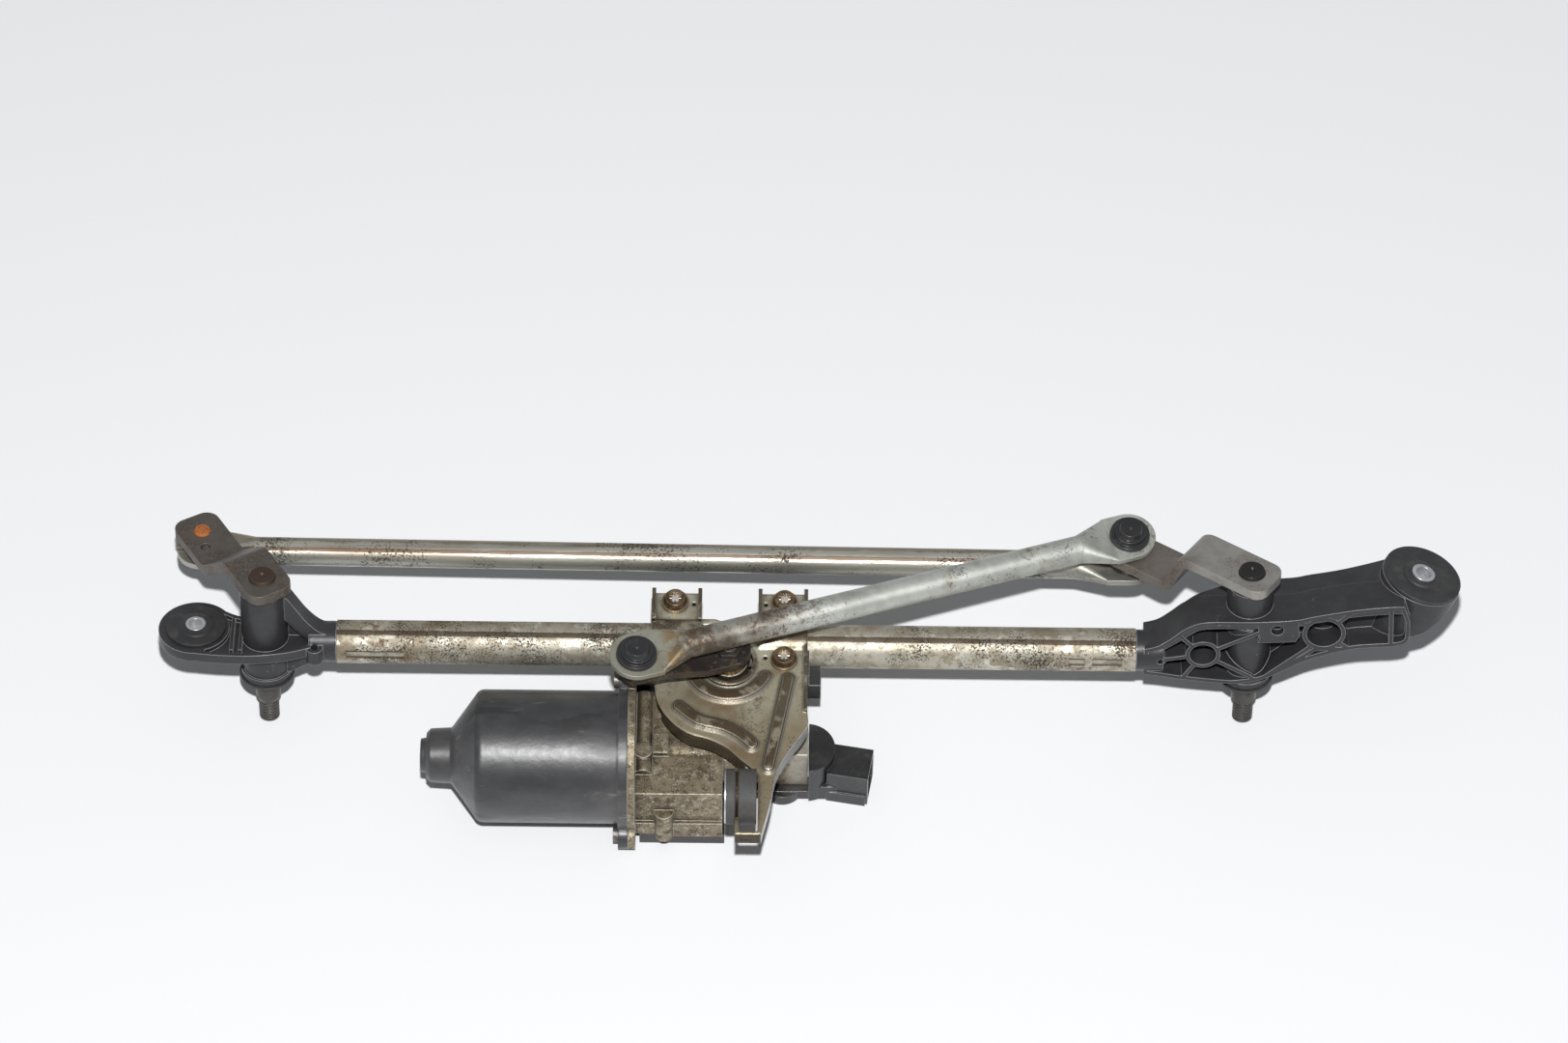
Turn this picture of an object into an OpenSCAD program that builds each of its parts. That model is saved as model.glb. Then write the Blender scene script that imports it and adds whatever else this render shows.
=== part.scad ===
// Wiper linkage: a tube frame with two wiper spindles, a motor on a stamped bracket,
// a crank, a drive link and a tie link. Lengths in millimetres.
// X runs along the tube, Y away from the front, Z up along the motor's output shaft.

/* [Frame tube] */
tube_length = 405; // [340:1:520]
tube_radius = 11; // [10:0.25:12.5]
tube_wall = 1.5; // [1:0.1:2.5]

/* [Spindles] */
// Lean of the spindle axes away from the output shaft's axis
spindle_tilt = 14; // [0:0.5:20]
left_reach = 36.5; // [34:0.5:45]
right_reach = 57; // [55:0.5:65]
spindle_radius = 6.35; // [5.5:0.05:7]
thread_radius = 5.2; // [4:0.1:5.5]
boss_radius = 11.8; // [11:0.1:13]

/* [Levers] */
left_lever = 69; // [62:0.5:76]
right_lever = 73.5; // [66:0.5:80]
lever_width = 24; // [20:0.5:28]
lever_thickness = 5.5; // [4:0.1:6.5]
left_angle = 120.7; // [110:0.1:130]
right_angle = 144.7; // [135:0.1:150]

/* [Motor and crank] */
crank_length = 48.5; // [42:0.1:52]
crank_angle = 197.9; // [190:0.1:205]
can_radius = 33.6; // [31:0.1:35]
can_length = 69; // [60:1:85]
can_wall = 2.2; // [1.6:0.1:2.4]
magnet_t = 6; // [5:0.1:6.5]
air_gap = 0.8; // [0.5:0.1:1.2]
wheel_radius = 32; // [28:0.25:32.5]

/* [Links] */
link_radius = 7.2; // [6:0.1:7.5]
link_wall = 1.25; // [1:0.05:2]
ball_radius = 6.5; // [5.5:0.1:7]

/* [Mounts] */
left_bore = 3.3; // [2.6:0.1:4.2]
right_bore = 4.2; // [3.2:0.1:4.6]
grommet_bore = 4; // [3:0.1:4.5]

/* [Fits] */
run_fit = 0.05; // [0.02:0.01:0.1]
seat_fit = 0.02; // [0.01:0.01:0.05]
gap = 0.3; // [0.3:0.05:0.6]

/* [Hidden] */
$fn = 48;
eps = 0.01;

// Row origin: middle of the base, on the surface that the linkage lies on.
mid_x = 35.7;
mid_y = -21.84;
floor_z = 52;

// Spindle frame: same X, turned about X by the tilt.
left_x = -tube_length / 2 - left_reach;
right_x = tube_length / 2 + right_reach;
right_y = 5.4;
left_top = 43.2;
right_top = 49.1;
left_tip = -52;
right_tip = -50.8;
left_drop = 22.5;
right_drop = 22;
boss_low = -19.5;
bush_wall = 1.5;
bush_length = 14;
stud_up = 6.5;
stud_down = 7.5;
neck_radius = 3.8;

// Points of the linkage, spindle frame.
left_ball = [left_x + left_lever * cos(left_angle), left_lever * sin(left_angle),
  left_top - left_drop - lever_thickness - stud_down];
tie_ball = [right_x + right_lever * cos(right_angle), right_y + right_lever * sin(right_angle),
  right_top - right_drop - lever_thickness - stud_down];
drive_ball_s = [tie_ball[0], tie_ball[1], right_top - right_drop + stud_up];

// Points of the linkage, part frame.
shaft_x = -3.5;
shaft_y = -17.5;
crank_ball = [shaft_x + crank_length * cos(crank_angle), shaft_y + crank_length * sin(crank_angle), 39];
drive_ball = to_part(drive_ball_s);

// Motor: can and worm axis along X.
worm_y = shaft_y - wheel_radius - 6.8;
worm_z = -18;
flange_x = -53.8;
flange_t = 4.9;
plate_top = 10.5;
plate_t = 2.5;
bolt_dx = 27.75;
bolt_front = -15.2;
bolt_back = 18.8;
bolt_r = 3;
cradle_low = -13;
roof_top = -13.2;
cover_top = -44;
cover_low = -floor_z;
shaft_r = 5;
screw_dx = 20;
screw_dy = 36.9;
hub_low = 20.2;
hub_t = 5;
crank_rise = 6.8;

// Link ends.
flat_t = 3.2;
end_radius = 13.4;
socket_radius = 10.4;
socket_seat = 9;

function to_part(p) = [p[0], p[1] * cos(spindle_tilt) + p[2] * sin(spindle_tilt),
  p[2] * cos(spindle_tilt) - p[1] * sin(spindle_tilt)];
function heading(d) = atan2(d[1], d[0]);
function fall(d) = atan2(-d[2], norm([d[0], d[1]]));

// Smooth curve through a row of points.
function curve(p, n = 4) = [for (i = [0 : len(p) - 2], k = [0 : n - 1]) let(t = k / n,
  a = p[max(i - 1, 0)], b = p[i], c = p[i + 1], d = p[min(i + 2, len(p) - 1)])
  (b * 2 + (c - a) * t + (a * 2 - b * 5 + c * 4 - d) * t * t + (b * 3 - a - c * 3 + d) * t * t * t) / 2];

module place() { translate([-mid_x, -mid_y, floor_z]) children(); }
module tilted() { place() rotate([-spindle_tilt, 0, 0]) children(); }
module at_left() { tilted() translate([left_x, 0, 0]) children(); }
module at_right() { tilted() translate([right_x, right_y, 0]) children(); }
module at_motor() { place() translate([flange_x, worm_y, worm_z]) rotate([0, -90, 0]) children(); }
module at_shaft() { place() translate([shaft_x, shaft_y, 0]) children(); }
module along_x(x0, x1, r) { translate([x0, 0, 0]) rotate([0, 90, 0]) cylinder(r = r, h = x1 - x0); }
module block(a, b) { translate(a) cube([b[0] - a[0], b[1] - a[1], b[2] - a[2]]); }
module ring(r1, r0, h) { difference() { cylinder(r = r1, h = h); translate([0, 0, -1]) cylinder(r = r0, h = h + 2); } }
// Upright wall standing on the spindle frame's XZ outline, from y0 to y1.
module wall(y0, y1) { translate([0, y1, 0]) rotate([90, 0, 0]) linear_extrude(y1 - y0) children(); }

// Frame tube with crimp dents where it grips the housings.
crimp_r = 4.5;
crimp_depth = 0.9;
module crimp(x0, x1) {
  rotate([-19, 0, 0]) translate([0, -tube_radius - crimp_r + crimp_depth, 0]) along_x(x0, x1, crimp_r);
}
module frame_tube() {
  color([0.62, 0.58, 0.5]) place() difference() {
    along_x(-tube_length / 2, tube_length / 2, tube_radius);
    along_x(-tube_length / 2 - 1, tube_length / 2 + 1, tube_radius - tube_wall);
    crimp(-tube_length / 2 + 5, -tube_length / 2 + 34);
    crimp(tube_length / 2 - 34, tube_length / 2 - 26);
    crimp(tube_length / 2 - 22, tube_length / 2 - 7);
  }
}

// Spindle passage: bushes at both ends, clear in the middle.
module spindle_passage(top) {
  translate([0, 0, boss_low - 1]) cylinder(r = spindle_radius + gap, h = top - boss_low + 2);
  translate([0, 0, boss_low - 1]) cylinder(r = spindle_radius + bush_wall, h = bush_length + 1);
  translate([0, 0, top - bush_length]) cylinder(r = spindle_radius + bush_wall, h = bush_length + 1);
}
// Round plug that the tube is crimped onto, drawn in the part frame about the tube axis.
module plug(side) {
  rotate([spindle_tilt, 0, 0]) rotate([0, 0, side < 0 ? 180 : 0]) {
    along_x(tube_length / 2 - 18, tube_length / 2 + 2, tube_radius - tube_wall - seat_fit);
    along_x(tube_length / 2 + gap, tube_length / 2 + 14, tube_radius - 0.6);
  }
}

left_boss_top = left_top - lever_thickness - 1.5;
left_eye_x = left_x - 35.3;
left_eye_y = 3;
left_eye_r = 11;
module left_housing() {
  color([0.1, 0.1, 0.11]) at_left() difference() {
    union() {
      translate([0, 0, boss_low]) cylinder(r = boss_radius, h = left_boss_top - boss_low);
      translate([0, 0, boss_low]) cylinder(r = boss_radius + 1.2, h = 3);
      // upper arm, rounded off into the neck
      wall(-5, 5) polygon(concat(curve([[2, left_boss_top - 0.4], [11, left_boss_top - 2], [16, 27], [21, 18.5],
        [27, 11.5], [left_reach - 4, 8.6], [left_reach, 8.4]]), curve([[left_reach - 2, -2], [26, 1], [20, 7], [13, 16],
        [6, 25], [1, 27]])));
      // back web between the arms
      wall(1, 5) polygon([[2, 28], [26, 5], [left_reach - 4, 0], [left_reach - 4, -7], [16, -10], [2, -16]]);
      // lower arm
      wall(-5, 5) polygon(concat([[2, -7], [20, -3], [left_reach - 2, -1]], curve([[left_reach, -8.4], [29, -9], [22, -11],
        [16, -14.4], [10, -18], [2, boss_low + 0.4]])));
      // level web that carries the eye, with an upstanding rim
      difference() {
        linear_extrude(5.5) left_level();
        translate([0, 0, 3]) linear_extrude(4) difference() {
          intersection() { offset(delta = -2.2) left_level(); translate([-30, -30]) square([60, 60]); }
          translate([left_eye_x - left_x, left_eye_y]) circle(r = 17);
        }
      }
      for (x = [-17.5, -13]) translate([x, -13, 1]) cube([1.8, 24, 4.4]);
      translate([25.5, -10.5, -3]) cylinder(r = 4.3, h = 8.2);
      translate([-left_x, 0, 0]) plug(-1);
    }
    spindle_passage(left_boss_top);
    translate([left_eye_x - left_x, left_eye_y, -5]) cylinder(r = left_eye_r, h = 20);
    translate([25.5, -10.5, 0]) cylinder(r = 2, h = 8);
  }
}
module left_level() {
  translate([left_eye_x - left_x, left_eye_y]) circle(r = 19);
  polygon(concat(curve([[-33, 21.8], [-22, 16], [-12, 11.5], [6, 9.5], [20, 6], [29, 4]]),
    curve([[29, -7], [22, -11.5], [10, -15.4], [-6, -17.6], [-22, -17.4], [-35.3, -16]]), [[-35.3, -15.9]]));
}

right_boss_top = right_top - lever_thickness - 1.5;
right_eye_x = 86.3;
right_eye_y = 10.5;
right_eye_z = 36;
right_eye_wall = 20.6;
right_eye_r = 14;
module right_eye() {
  translate([right_eye_x, right_eye_y, right_eye_z]) rotate([0, 16, 0]) children();
}
// Front outline of the right housing, from the neck to the eye.
module right_front() {
  polygon(concat(curve([[-53, 8.6], [-46, 11], [-40, 16], [-32, 23.6], [-22, 27.6], [2, 28], [22, 29.6], [32, 32.4], [52, 37],
    [70, 39.4], [78, 39.6]]), curve([[80, 30], [80, 17], [74, 13], [62, 11.8], [50, 10], [31, 3.3], [17, -5.6], [7, -11.4],
    [-4, -14], [-12, -14.2], [-32, -11.9], [-46, -9.4], [-53, -8.6]]), [[-53, -8.5]]));
}
rib = 2.2;
ring_one = [-23.2, 5.4];
ring_two = [37.2, 20.8];
small_boss = [-44.7, 1.3];
// Ribs, ring walls and the solid patch that stay between the front pockets.
module right_ribs() {
  strip([[-53, 5], small_boss, [-53, -3]], rib);
  strip([small_boss, ring_one, [5, 21]], rib);
  strip([[-37.4, 20], ring_one, [-33, -11]], rib);
  strip([ring_one, [0.7, -9], [4, -12]], rib);
  strip([[7, -11], [29, 10], ring_two, [52, 37]], rib);
  strip([[16, -5], [33, 10], [52, 11]], rib);
  strip([[24, 29], ring_two, [50, 11]], rib);
  strip([[70, 40], [71.5, 12]], rib);
  translate(ring_one) circle(r = 8.8);
  translate(ring_two) circle(r = 11);
  translate(small_boss) circle(r = 3.1);
  polygon([[3, 30], [5, 17], [4, 14], [23, 15], [25, 19], [23.4, 31]]);
}
module right_pockets() {
  difference() {
    offset(delta = -rib) right_front();
    right_ribs();
  }
  translate(ring_one) circle(r = 6.8);
  translate(ring_two) circle(r = 8.8);
}
module right_housing() {
  color([0.1, 0.1, 0.11]) at_right() difference() {
    union() {
      translate([0, 0, boss_low]) cylinder(r = boss_radius, h = right_boss_top - boss_low);
      translate([0, 0, boss_low]) cylinder(r = boss_radius + 1.2, h = 3);
      difference() {
        wall(-14.4, 6) right_front();
        wall(-20, -1) right_pockets();
      }
      translate([0, -2, boss_low]) cylinder(r = boss_radius - 1, h = 40);
      // top plate, rising towards the eye
      difference() {
        wall(-14.3, 26) polygon(concat(curve([[-46, 10.9], [-40, 15.9], [-32, 23.5], [-22, 27.5], [2, 27.9], [22, 29.5],
          [32, 32.3], [52, 36.9], [70, 39.3], [77.9, 39.5]]), curve([[77.9, 34.8], [70, 34.6], [52, 32.4], [32, 27.8], [22, 25.2],
          [2, 23.6], [-22, 23], [-30, 19], [-36, 14], [-44, 7.6]])));
        translate([0, 0, -1]) linear_extrude(60) polygon(concat(curve([[-60, 0.5], [-46, 2], [-34, 5.5], [-22, 9.5], [-10, 14.6],
          [2, 17.6], [20, 18], [44, 17.4], [60, 19.6], [79, 25]]), [[79, 60], [-60, 60]]));
      }
      // cup around the eye, with the lower edge rising to the right
      intersection() {
        right_eye() translate([0, 0, -30]) cylinder(r = right_eye_wall, h = 31.5);
        wall(-30, 50) polygon([[60, 50], [60, 13.4], [76, 13.8], [88, 17], [97, 22.5], [104, 30], [112, 40], [112, 50]]);
      }
      translate([-right_x, -right_y, 0]) plug(1);
    }
    spindle_passage(right_boss_top);
    right_eye() translate([0, 0, -9]) cylinder(r = right_eye_r, h = 20);
    right_eye() translate([0, 0, 1.5]) cylinder(r = 24, h = 14);
    right_eye() translate([0, 0, -34]) cylinder(r = right_eye_wall - 2.2, h = 28.99);
    translate([small_boss[0], -18, small_boss[1]]) rotate([-90, 0, 0]) cylinder(r = 1.5, h = 9);
    translate([13.6, -24, 22.6]) rotate([-90, 0, 0]) cylinder(r = 3.2, h = 14);
  }
}

module bush_pair(top) {
  for (z = [boss_low, top - bush_length]) translate([0, 0, z])
    ring(spindle_radius + bush_wall - seat_fit, spindle_radius + run_fit, bush_length);
}
module spindle_bushes() {
  color([0.66, 0.5, 0.3]) { at_left() bush_pair(left_boss_top); at_right() bush_pair(right_boss_top); }
}
module seal() {
  translate([0, 0, boss_low - 2.2]) difference() {
    union() { cylinder(r = 14, h = 1.2); cylinder(r = 11, h = 2.2 - eps); }
    translate([0, 0, -1]) cylinder(r = spindle_radius + gap, h = 6);
  }
}
module spindle_seals() { color([0.07, 0.07, 0.07]) { at_left() seal(); at_right() seal(); } }
module lever_washer(top) { translate([0, 0, top + gap]) ring(10, spindle_radius + gap, 1); }
module lever_washers() {
  color([0.6, 0.58, 0.52]) { at_left() lever_washer(left_boss_top); at_right() lever_washer(right_boss_top); }
}

// Rubber mount bush: a waist between two flanges.
module mount_bush(waist, flange, low, high, core) {
  difference() {
    union() {
      translate([0, 0, low - 2.2]) cylinder(r = flange - 2.6, h = 2.2 - eps);
      translate([0, 0, low - eps]) cylinder(r = waist - seat_fit, h = high - low + 2 * eps);
      translate([0, 0, high + eps]) cylinder(r = flange, h = 2);
      translate([0, 0, high + 2]) cylinder(r = core + 4, h = 0.8);
    }
    translate([0, 0, low - 10]) cylinder(r = core + seat_fit, h = high - low + 20);
  }
}
module mount_sleeve(low, high, core, bore) { translate([0, 0, low]) ring(core, bore, high - low); }
left_core = 5.1;
right_core = 6;
module left_eye() { at_left() translate([left_eye_x - left_x, left_eye_y, 0]) children(); }
module left_mount_bush() { color([0.09, 0.09, 0.09]) left_eye() mount_bush(left_eye_r, 15.2, 0, 5.5, left_core); }
module left_mount_sleeve() { color([0.75, 0.75, 0.75]) left_eye() mount_sleeve(-4, 8.6, left_core, left_bore); }
module right_mount_bush() {
  color([0.09, 0.09, 0.09]) at_right() right_eye() mount_bush(right_eye_r, right_eye_wall - 0.3, -5, 1.5, right_core);
}
module right_mount_sleeve() {
  color([0.75, 0.75, 0.75]) at_right() right_eye() mount_sleeve(-9, 5, right_core, right_bore);
}

// Spindle with a lever seat, a knurled cone and a threaded tip.
module spindle(top, tip) {
  difference() {
    union() {
      translate([0, 0, boss_low - 17]) cylinder(r = spindle_radius, h = top - boss_low + 17 - lever_thickness);
      translate([0, 0, tip + 13]) cylinder(r1 = thread_radius, r2 = spindle_radius, h = boss_low - 17 - tip - 13);
      translate([0, 0, tip + 1]) cylinder(r = thread_radius, h = 12 + eps);
      translate([0, 0, tip]) cylinder(r1 = thread_radius - 1, r2 = thread_radius, h = 1);
      translate([0, 0, top - lever_thickness - eps]) cylinder(r = spindle_radius - 0.6, h = lever_thickness + 0.2);
      translate([0, 0, top + 0.05]) cylinder(r1 = 7, r2 = 6.2, h = 1.8);
    }
    for (i = [0 : 5]) translate([0, 0, tip + 2 + i * 1.9]) ring(thread_radius + 1, thread_radius - 0.5, 0.8);
    translate([0, 0, top + 0.9]) cylinder(r1 = 0.8, r2 = 1.8, h = 1.2);
  }
}
module left_spindle() { color([0.5, 0.48, 0.45]) at_left() spindle(left_top, left_tip); }
module right_spindle() { color([0.5, 0.48, 0.45]) at_right() spindle(right_top, right_tip); }

// Z-bent strap from the hub to the ball, x along the strap; both bends are rounded.
function arc_pts(c, r, a0, a1, n = 6) = [for (i = [0 : n]) [c[0] + r * cos(a0 + (a1 - a0) * i / n),
  c[1] + r * sin(a0 + (a1 - a0) * i / n)]];
module strap_side(reach, u1, u2, drop, t, ri) {
  slope = atan2(drop, u2 - u1);
  k = tan(slope / 2);
  ro = ri + t;
  polygon(concat([[-14, 0]], arc_pts([u1 - ro * k, -ro], ro, 90, 90 - slope),
    arc_pts([u2 + ri * k, -drop + ri], ri, 270 - slope, 270), [[reach + 14, -drop], [reach + 14, -drop - t]],
    arc_pts([u2 + ri * k, -drop + ri], ro, 270, 270 - slope),
    arc_pts([u1 - ro * k, -ro], ri, 90 - slope, 90), [[-14, -t]]));
}
module rounded_plan(x0, x1, w, r) {
  for (x = [x0 + r, x1 - r], y = [r - w / 2, w / 2 - r]) translate([x, y]) circle(r = r);
  translate([x0 + r, -w / 2]) square([x1 - x0 - 2 * r, w]);
  translate([x0, r - w / 2]) square([x1 - x0, w - 2 * r]);
}
module strap(reach, u1, u2, drop, ri) {
  intersection() {
    translate([0, lever_width / 2, 0]) rotate([90, 0, 0]) linear_extrude(lever_width)
      strap_side(reach, u1, u2, drop, lever_thickness, ri);
    translate([0, 0, -60]) linear_extrude(120) rounded_plan(-13, reach + 12.6, lever_width, 7);
  }
}
module left_lever_arm() {
  color([0.3, 0.27, 0.25]) at_left() translate([0, 0, left_top]) rotate([0, 0, left_angle]) difference() {
    strap(left_lever, 20, 46, left_drop, 5);
    translate([0, 0, -20]) cylinder(r = spindle_radius - 0.6 + seat_fit, h = 40);
    translate([left_lever - 11.5, 4, -60]) cylinder(r = 2.6, h = 80);
  }
}
module left_lever_rivet() {
  color([0.55, 0.3, 0.12]) at_left() translate([0, 0, left_top - left_drop]) rotate([0, 0, left_angle])
    translate([left_lever, 0, 0.02]) cylinder(r1 = 4.6, r2 = 3.6, h = 1.6);
}
module right_lever_arm() {
  color([0.42, 0.4, 0.38]) at_right() translate([0, 0, right_top]) rotate([0, 0, right_angle]) difference() {
    strap(right_lever, 36, 45, right_drop, 4);
    translate([0, 0, -20]) cylinder(r = spindle_radius - 0.6 + seat_fit, h = 40);
    translate([right_lever, 0, -60]) cylinder(r = neck_radius + seat_fit, h = 80);
  }
}

// Ball stud standing up from z = 0, ball at height h.
module stud(h, foot) {
  cylinder(r = neck_radius, h = h);
  translate([0, 0, h]) sphere(r = ball_radius);
  if (foot > 0) translate([0, 0, -foot]) cylinder(r = neck_radius, h = foot + 1);
}
module tie_ball_stud() {
  color([0.55, 0.55, 0.55]) tilted() translate([tie_ball[0], tie_ball[1], tie_ball[2] + stud_down]) rotate([180, 0, 0])
    stud(stud_down, lever_thickness - 0.4);
}
module left_ball_stud() {
  color([0.55, 0.55, 0.55]) tilted() translate([left_ball[0], left_ball[1], left_ball[2] + stud_down - gap])
    rotate([180, 0, 0]) stud(stud_down - gap, 0);
}
module drive_ball_stud() {
  color([0.55, 0.55, 0.55]) tilted() translate([drive_ball_s[0], drive_ball_s[1], drive_ball_s[2] - stud_up + gap])
    stud(stud_up - gap, 0);
}
module crank_ball_stud() {
  color([0.55, 0.55, 0.55]) place() translate([crank_ball[0], crank_ball[1], crank_ball[2] - stud_up])
    stud(stud_up, hub_t - 0.5);
}

// Ball socket with a stepped cap; ball centre at the origin, mouth downwards.
module socket() {
  difference() {
    union() {
      translate([0, 0, -3.8]) cylinder(r = socket_seat - seat_fit, h = 5.4 + flat_t / 2);
      translate([0, 0, flat_t / 2 + 0.02]) cylinder(r1 = socket_radius, r2 = socket_radius - 0.4, h = 2.2);
      translate([0, 0, flat_t / 2 + 2]) cylinder(r1 = 8.4, r2 = 8, h = 2.4);
      translate([0, 0, 5.9]) cylinder(r1 = 6.6, r2 = 5.4, h = 2.5);
      translate([0, 0, 8.3]) cylinder(r = 0.8, h = 0.7);
    }
    sphere(r = ball_radius + run_fit);
    translate([0, 0, -4.8]) cylinder(r = 5.3, h = 3);
  }
}
// Link: a tube whose ends are pressed flat, x from ball to ball.
module link_end() {
  hull() {
    translate([27, 0, 0]) rotate([0, 90, 0]) cylinder(r = link_radius - 0.12, h = 1, $fn = 40);
    translate([10, 0.6 - end_radius, 0.06 - flat_t / 2]) cube([1.4, 2 * end_radius - 1.2, flat_t - 0.12]);
  }
  translate([0, 0, -flat_t / 2]) cylinder(r = end_radius, h = flat_t);
  translate([0, -end_radius, -flat_t / 2]) cube([11.05, 2 * end_radius, flat_t]);
}
module link(len) {
  difference() {
    union() {
      along_x(26.9, len - 26.9, link_radius);
      link_end();
      translate([len, 0, 0]) rotate([0, 0, 180]) link_end();
    }
    along_x(30, len - 30, link_radius - link_wall);
    for (x = [34, len - 34]) translate([x, 0, 0]) rotate([180, 0, 0]) cylinder(r = 1.5, h = 12);
    for (x = [0, len]) translate([x, 0, -6]) cylinder(r = socket_seat, h = 12);
  }
}
drive_d = drive_ball - crank_ball;
tie_d = tie_ball - left_ball;
module on_drive() { place() translate(crank_ball) rotate([0, fall(drive_d), heading(drive_d)]) children(); }
module on_tie() { tilted() translate(left_ball) rotate([0, fall(tie_d), heading(tie_d)]) children(); }
module drive_link() { color([0.62, 0.62, 0.58]) on_drive() link(norm(drive_d)); }
module tie_link() { color([0.64, 0.63, 0.58]) on_tie() link(norm(tie_d)); }
module drive_sockets() {
  color([0.06, 0.06, 0.06]) on_drive() for (x = [0, norm(drive_d)]) translate([x, 0, 0]) socket();
}
module tie_sockets() {
  color([0.06, 0.06, 0.06]) on_tie() for (x = [0, norm(tie_d)]) translate([x, 0, 0]) rotate([180, 0, 0]) socket();
}

// Motor bracket: plate with a saddle over the tube, two channelled ears, beads and a tongue.
module bracket_plan() {
  translate([-43, -28]) square([25.4, 52.5]);
  translate([11, -44]) square([25.2, 68.5]);
  difference() {
    translate([-43, -50]) square([79.2, 59]);
    translate([shaft_x, 22]) circle(r = 14.8);
    translate([-43, -50]) square([20, 20]);
    translate([-30, -58]) square([66.4, 20]);
  }
  polygon(concat(left_edge, right_edge));
}
left_edge = curve([[-41, -29], [-39.2, -41], [-32.8, -51.8], [-23.8, -59.4], [-12.9, -63], [-3.9, -68], [3.4, -75], [8.8, -80],
  [11.7, -85], [12, -98], [12, -112], [12, -118.4]], 3);
right_edge = curve([[13.8, -118.6], [15.2, -112], [18.4, -98], [21, -82], [27.4, -69], [36.2, -54.6], [36.2, -46], [36.2, -29]], 3);
// Strip of even width along a row of points.
module strip(pts, w) {
  for (i = [0 : len(pts) - 2]) {
    d = pts[i + 1] - pts[i];
    translate(pts[i]) rotate(atan2(d[1], d[0])) translate([0, -w / 2]) square([norm(d), w]);
  }
  for (p = pts) translate(p) circle(r = w / 2 + 0.08);
}
// Pressed beads, seen from above: one S-shaped, one down the tongue, one arc in front of the shaft.
s_bead = [[-28.3, -44], [-18.3, -52.2], [-5.7, -55.6], [3.4, -60.8], [8.6, -66]];
arc_bead = 20;
arc_cut = 8;
module bead_plan(w) {
  strip(concat(curve(s_bead, 3), [s_bead[4]]), w);
  strip([[26.4, -27], [17, -79]], w);
  translate([shaft_x, shaft_y]) {
    difference() {
      circle(r = arc_bead + w / 2);
      circle(r = arc_bead - w / 2);
      translate([-40, -arc_cut]) square([80, 60]);
    }
    for (k = [-1, 1]) translate([k * sqrt(arc_bead * arc_bead - arc_cut * arc_cut), -arc_cut]) circle(r = w / 2 - 0.06);
  }
}
tongue_y = -96.3;
tongue_z = 10;
eye_x = 0.6;
eye_t = 1.8;
// Row of points moved sideways to the left by d, with mitred corners.
function side(p, d) = [for (i = [0 : len(p) - 1]) let(
  u = i > 0 ? (p[i] - p[i - 1]) / norm(p[i] - p[i - 1]) : (p[1] - p[0]) / norm(p[1] - p[0]),
  v = i < len(p) - 1 ? (p[i + 1] - p[i]) / norm(p[i + 1] - p[i]) : u)
  p[i] + [-u[1] - v[1], u[0] + v[0]] * d / (1 + u * v)];
function backwards(p) = [for (i = [len(p) - 1 : -1 : 0]) p[i]];
module fold(p) { polygon(concat(side(p, 0.4), backwards(side(p, 2.4)))); }
// Down-turned edges of the plate.
module skirt_plan() {
  fold([for (i = [4 : 19]) left_edge[i]]);
  fold([for (i = [1 : 20]) right_edge[i]]);
}
module motor_bracket() {
  color([0.52, 0.48, 0.36]) place() difference() {
    union() {
      translate([0, 0, plate_top - plate_t]) linear_extrude(plate_t) bracket_plan();
      // saddle over the tube
      for (x = [[-43, -17.6], [11, 36.2]]) intersection() {
        along_x(x[0], x[1], tube_radius + gap + plate_t);
        block([x[0], -20, plate_top - plate_t], [x[1], 20, 30]);
      }
      // upstanding channel sides of the ears
      for (x = [-43, -19.6, 11, 34.2]) block([x, 6, plate_top - 1], [x + 2, 24.5, plate_top + 5]);
      block([34.2, -46, plate_top - 1], [36.2, 7, plate_top + 1.6]);
      translate([0, 0, plate_top - 11]) linear_extrude(10.2) skirt_plan();
      translate([0, 0, plate_top - 1]) linear_extrude(1.6) bead_plan(8.4);
      translate([0, 0, plate_top - 0.9]) linear_extrude(2.1) bead_plan(6.8);
      translate([0, 0, plate_top - 0.8]) linear_extrude(2.5) bead_plan(4.6);
      // collar around the output shaft
      translate([shaft_x, shaft_y, plate_top - 1]) cylinder(r = 14.2, h = 3);
      // eye at the tongue's tip
      translate([eye_x, tongue_y, tongue_z]) rotate([0, 90, 0]) cylinder(r = 12.6, h = eye_t);
      block([eye_x, -117, tongue_z - 8], [eye_x + eye_t, tongue_y, tongue_z + 0.4]);
      block([eye_x, -118.5, tongue_z - 8], [13.4, -116.7, tongue_z + 0.4]);
    }
    along_x(-60, 60, tube_radius + gap);
    translate([shaft_x, shaft_y, -10]) cylinder(r = 12.2, h = 40);
    for (x = [-bolt_dx, bolt_dx], y = [bolt_front, bolt_back]) translate([shaft_x + x, y, 0]) {
      cylinder(r = bolt_r + gap, h = 30);
    }
    for (x = [-bolt_dx, bolt_dx], y = [bolt_front, bolt_back]) translate([shaft_x + x, y, 0])
      translate([x < 0 ? 9.5 : -9.5, y < 0 ? 1 : -1, 0]) cylinder(r = 1.1, h = 30);
    translate([eye_x - 5, tongue_y, tongue_z]) rotate([0, 90, 0]) cylinder(r = 9.5, h = 14);
  }
}
module grommet_axis() { place() translate([eye_x + eye_t / 2, tongue_y, tongue_z]) rotate([0, 90, 0]) children(); }
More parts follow.
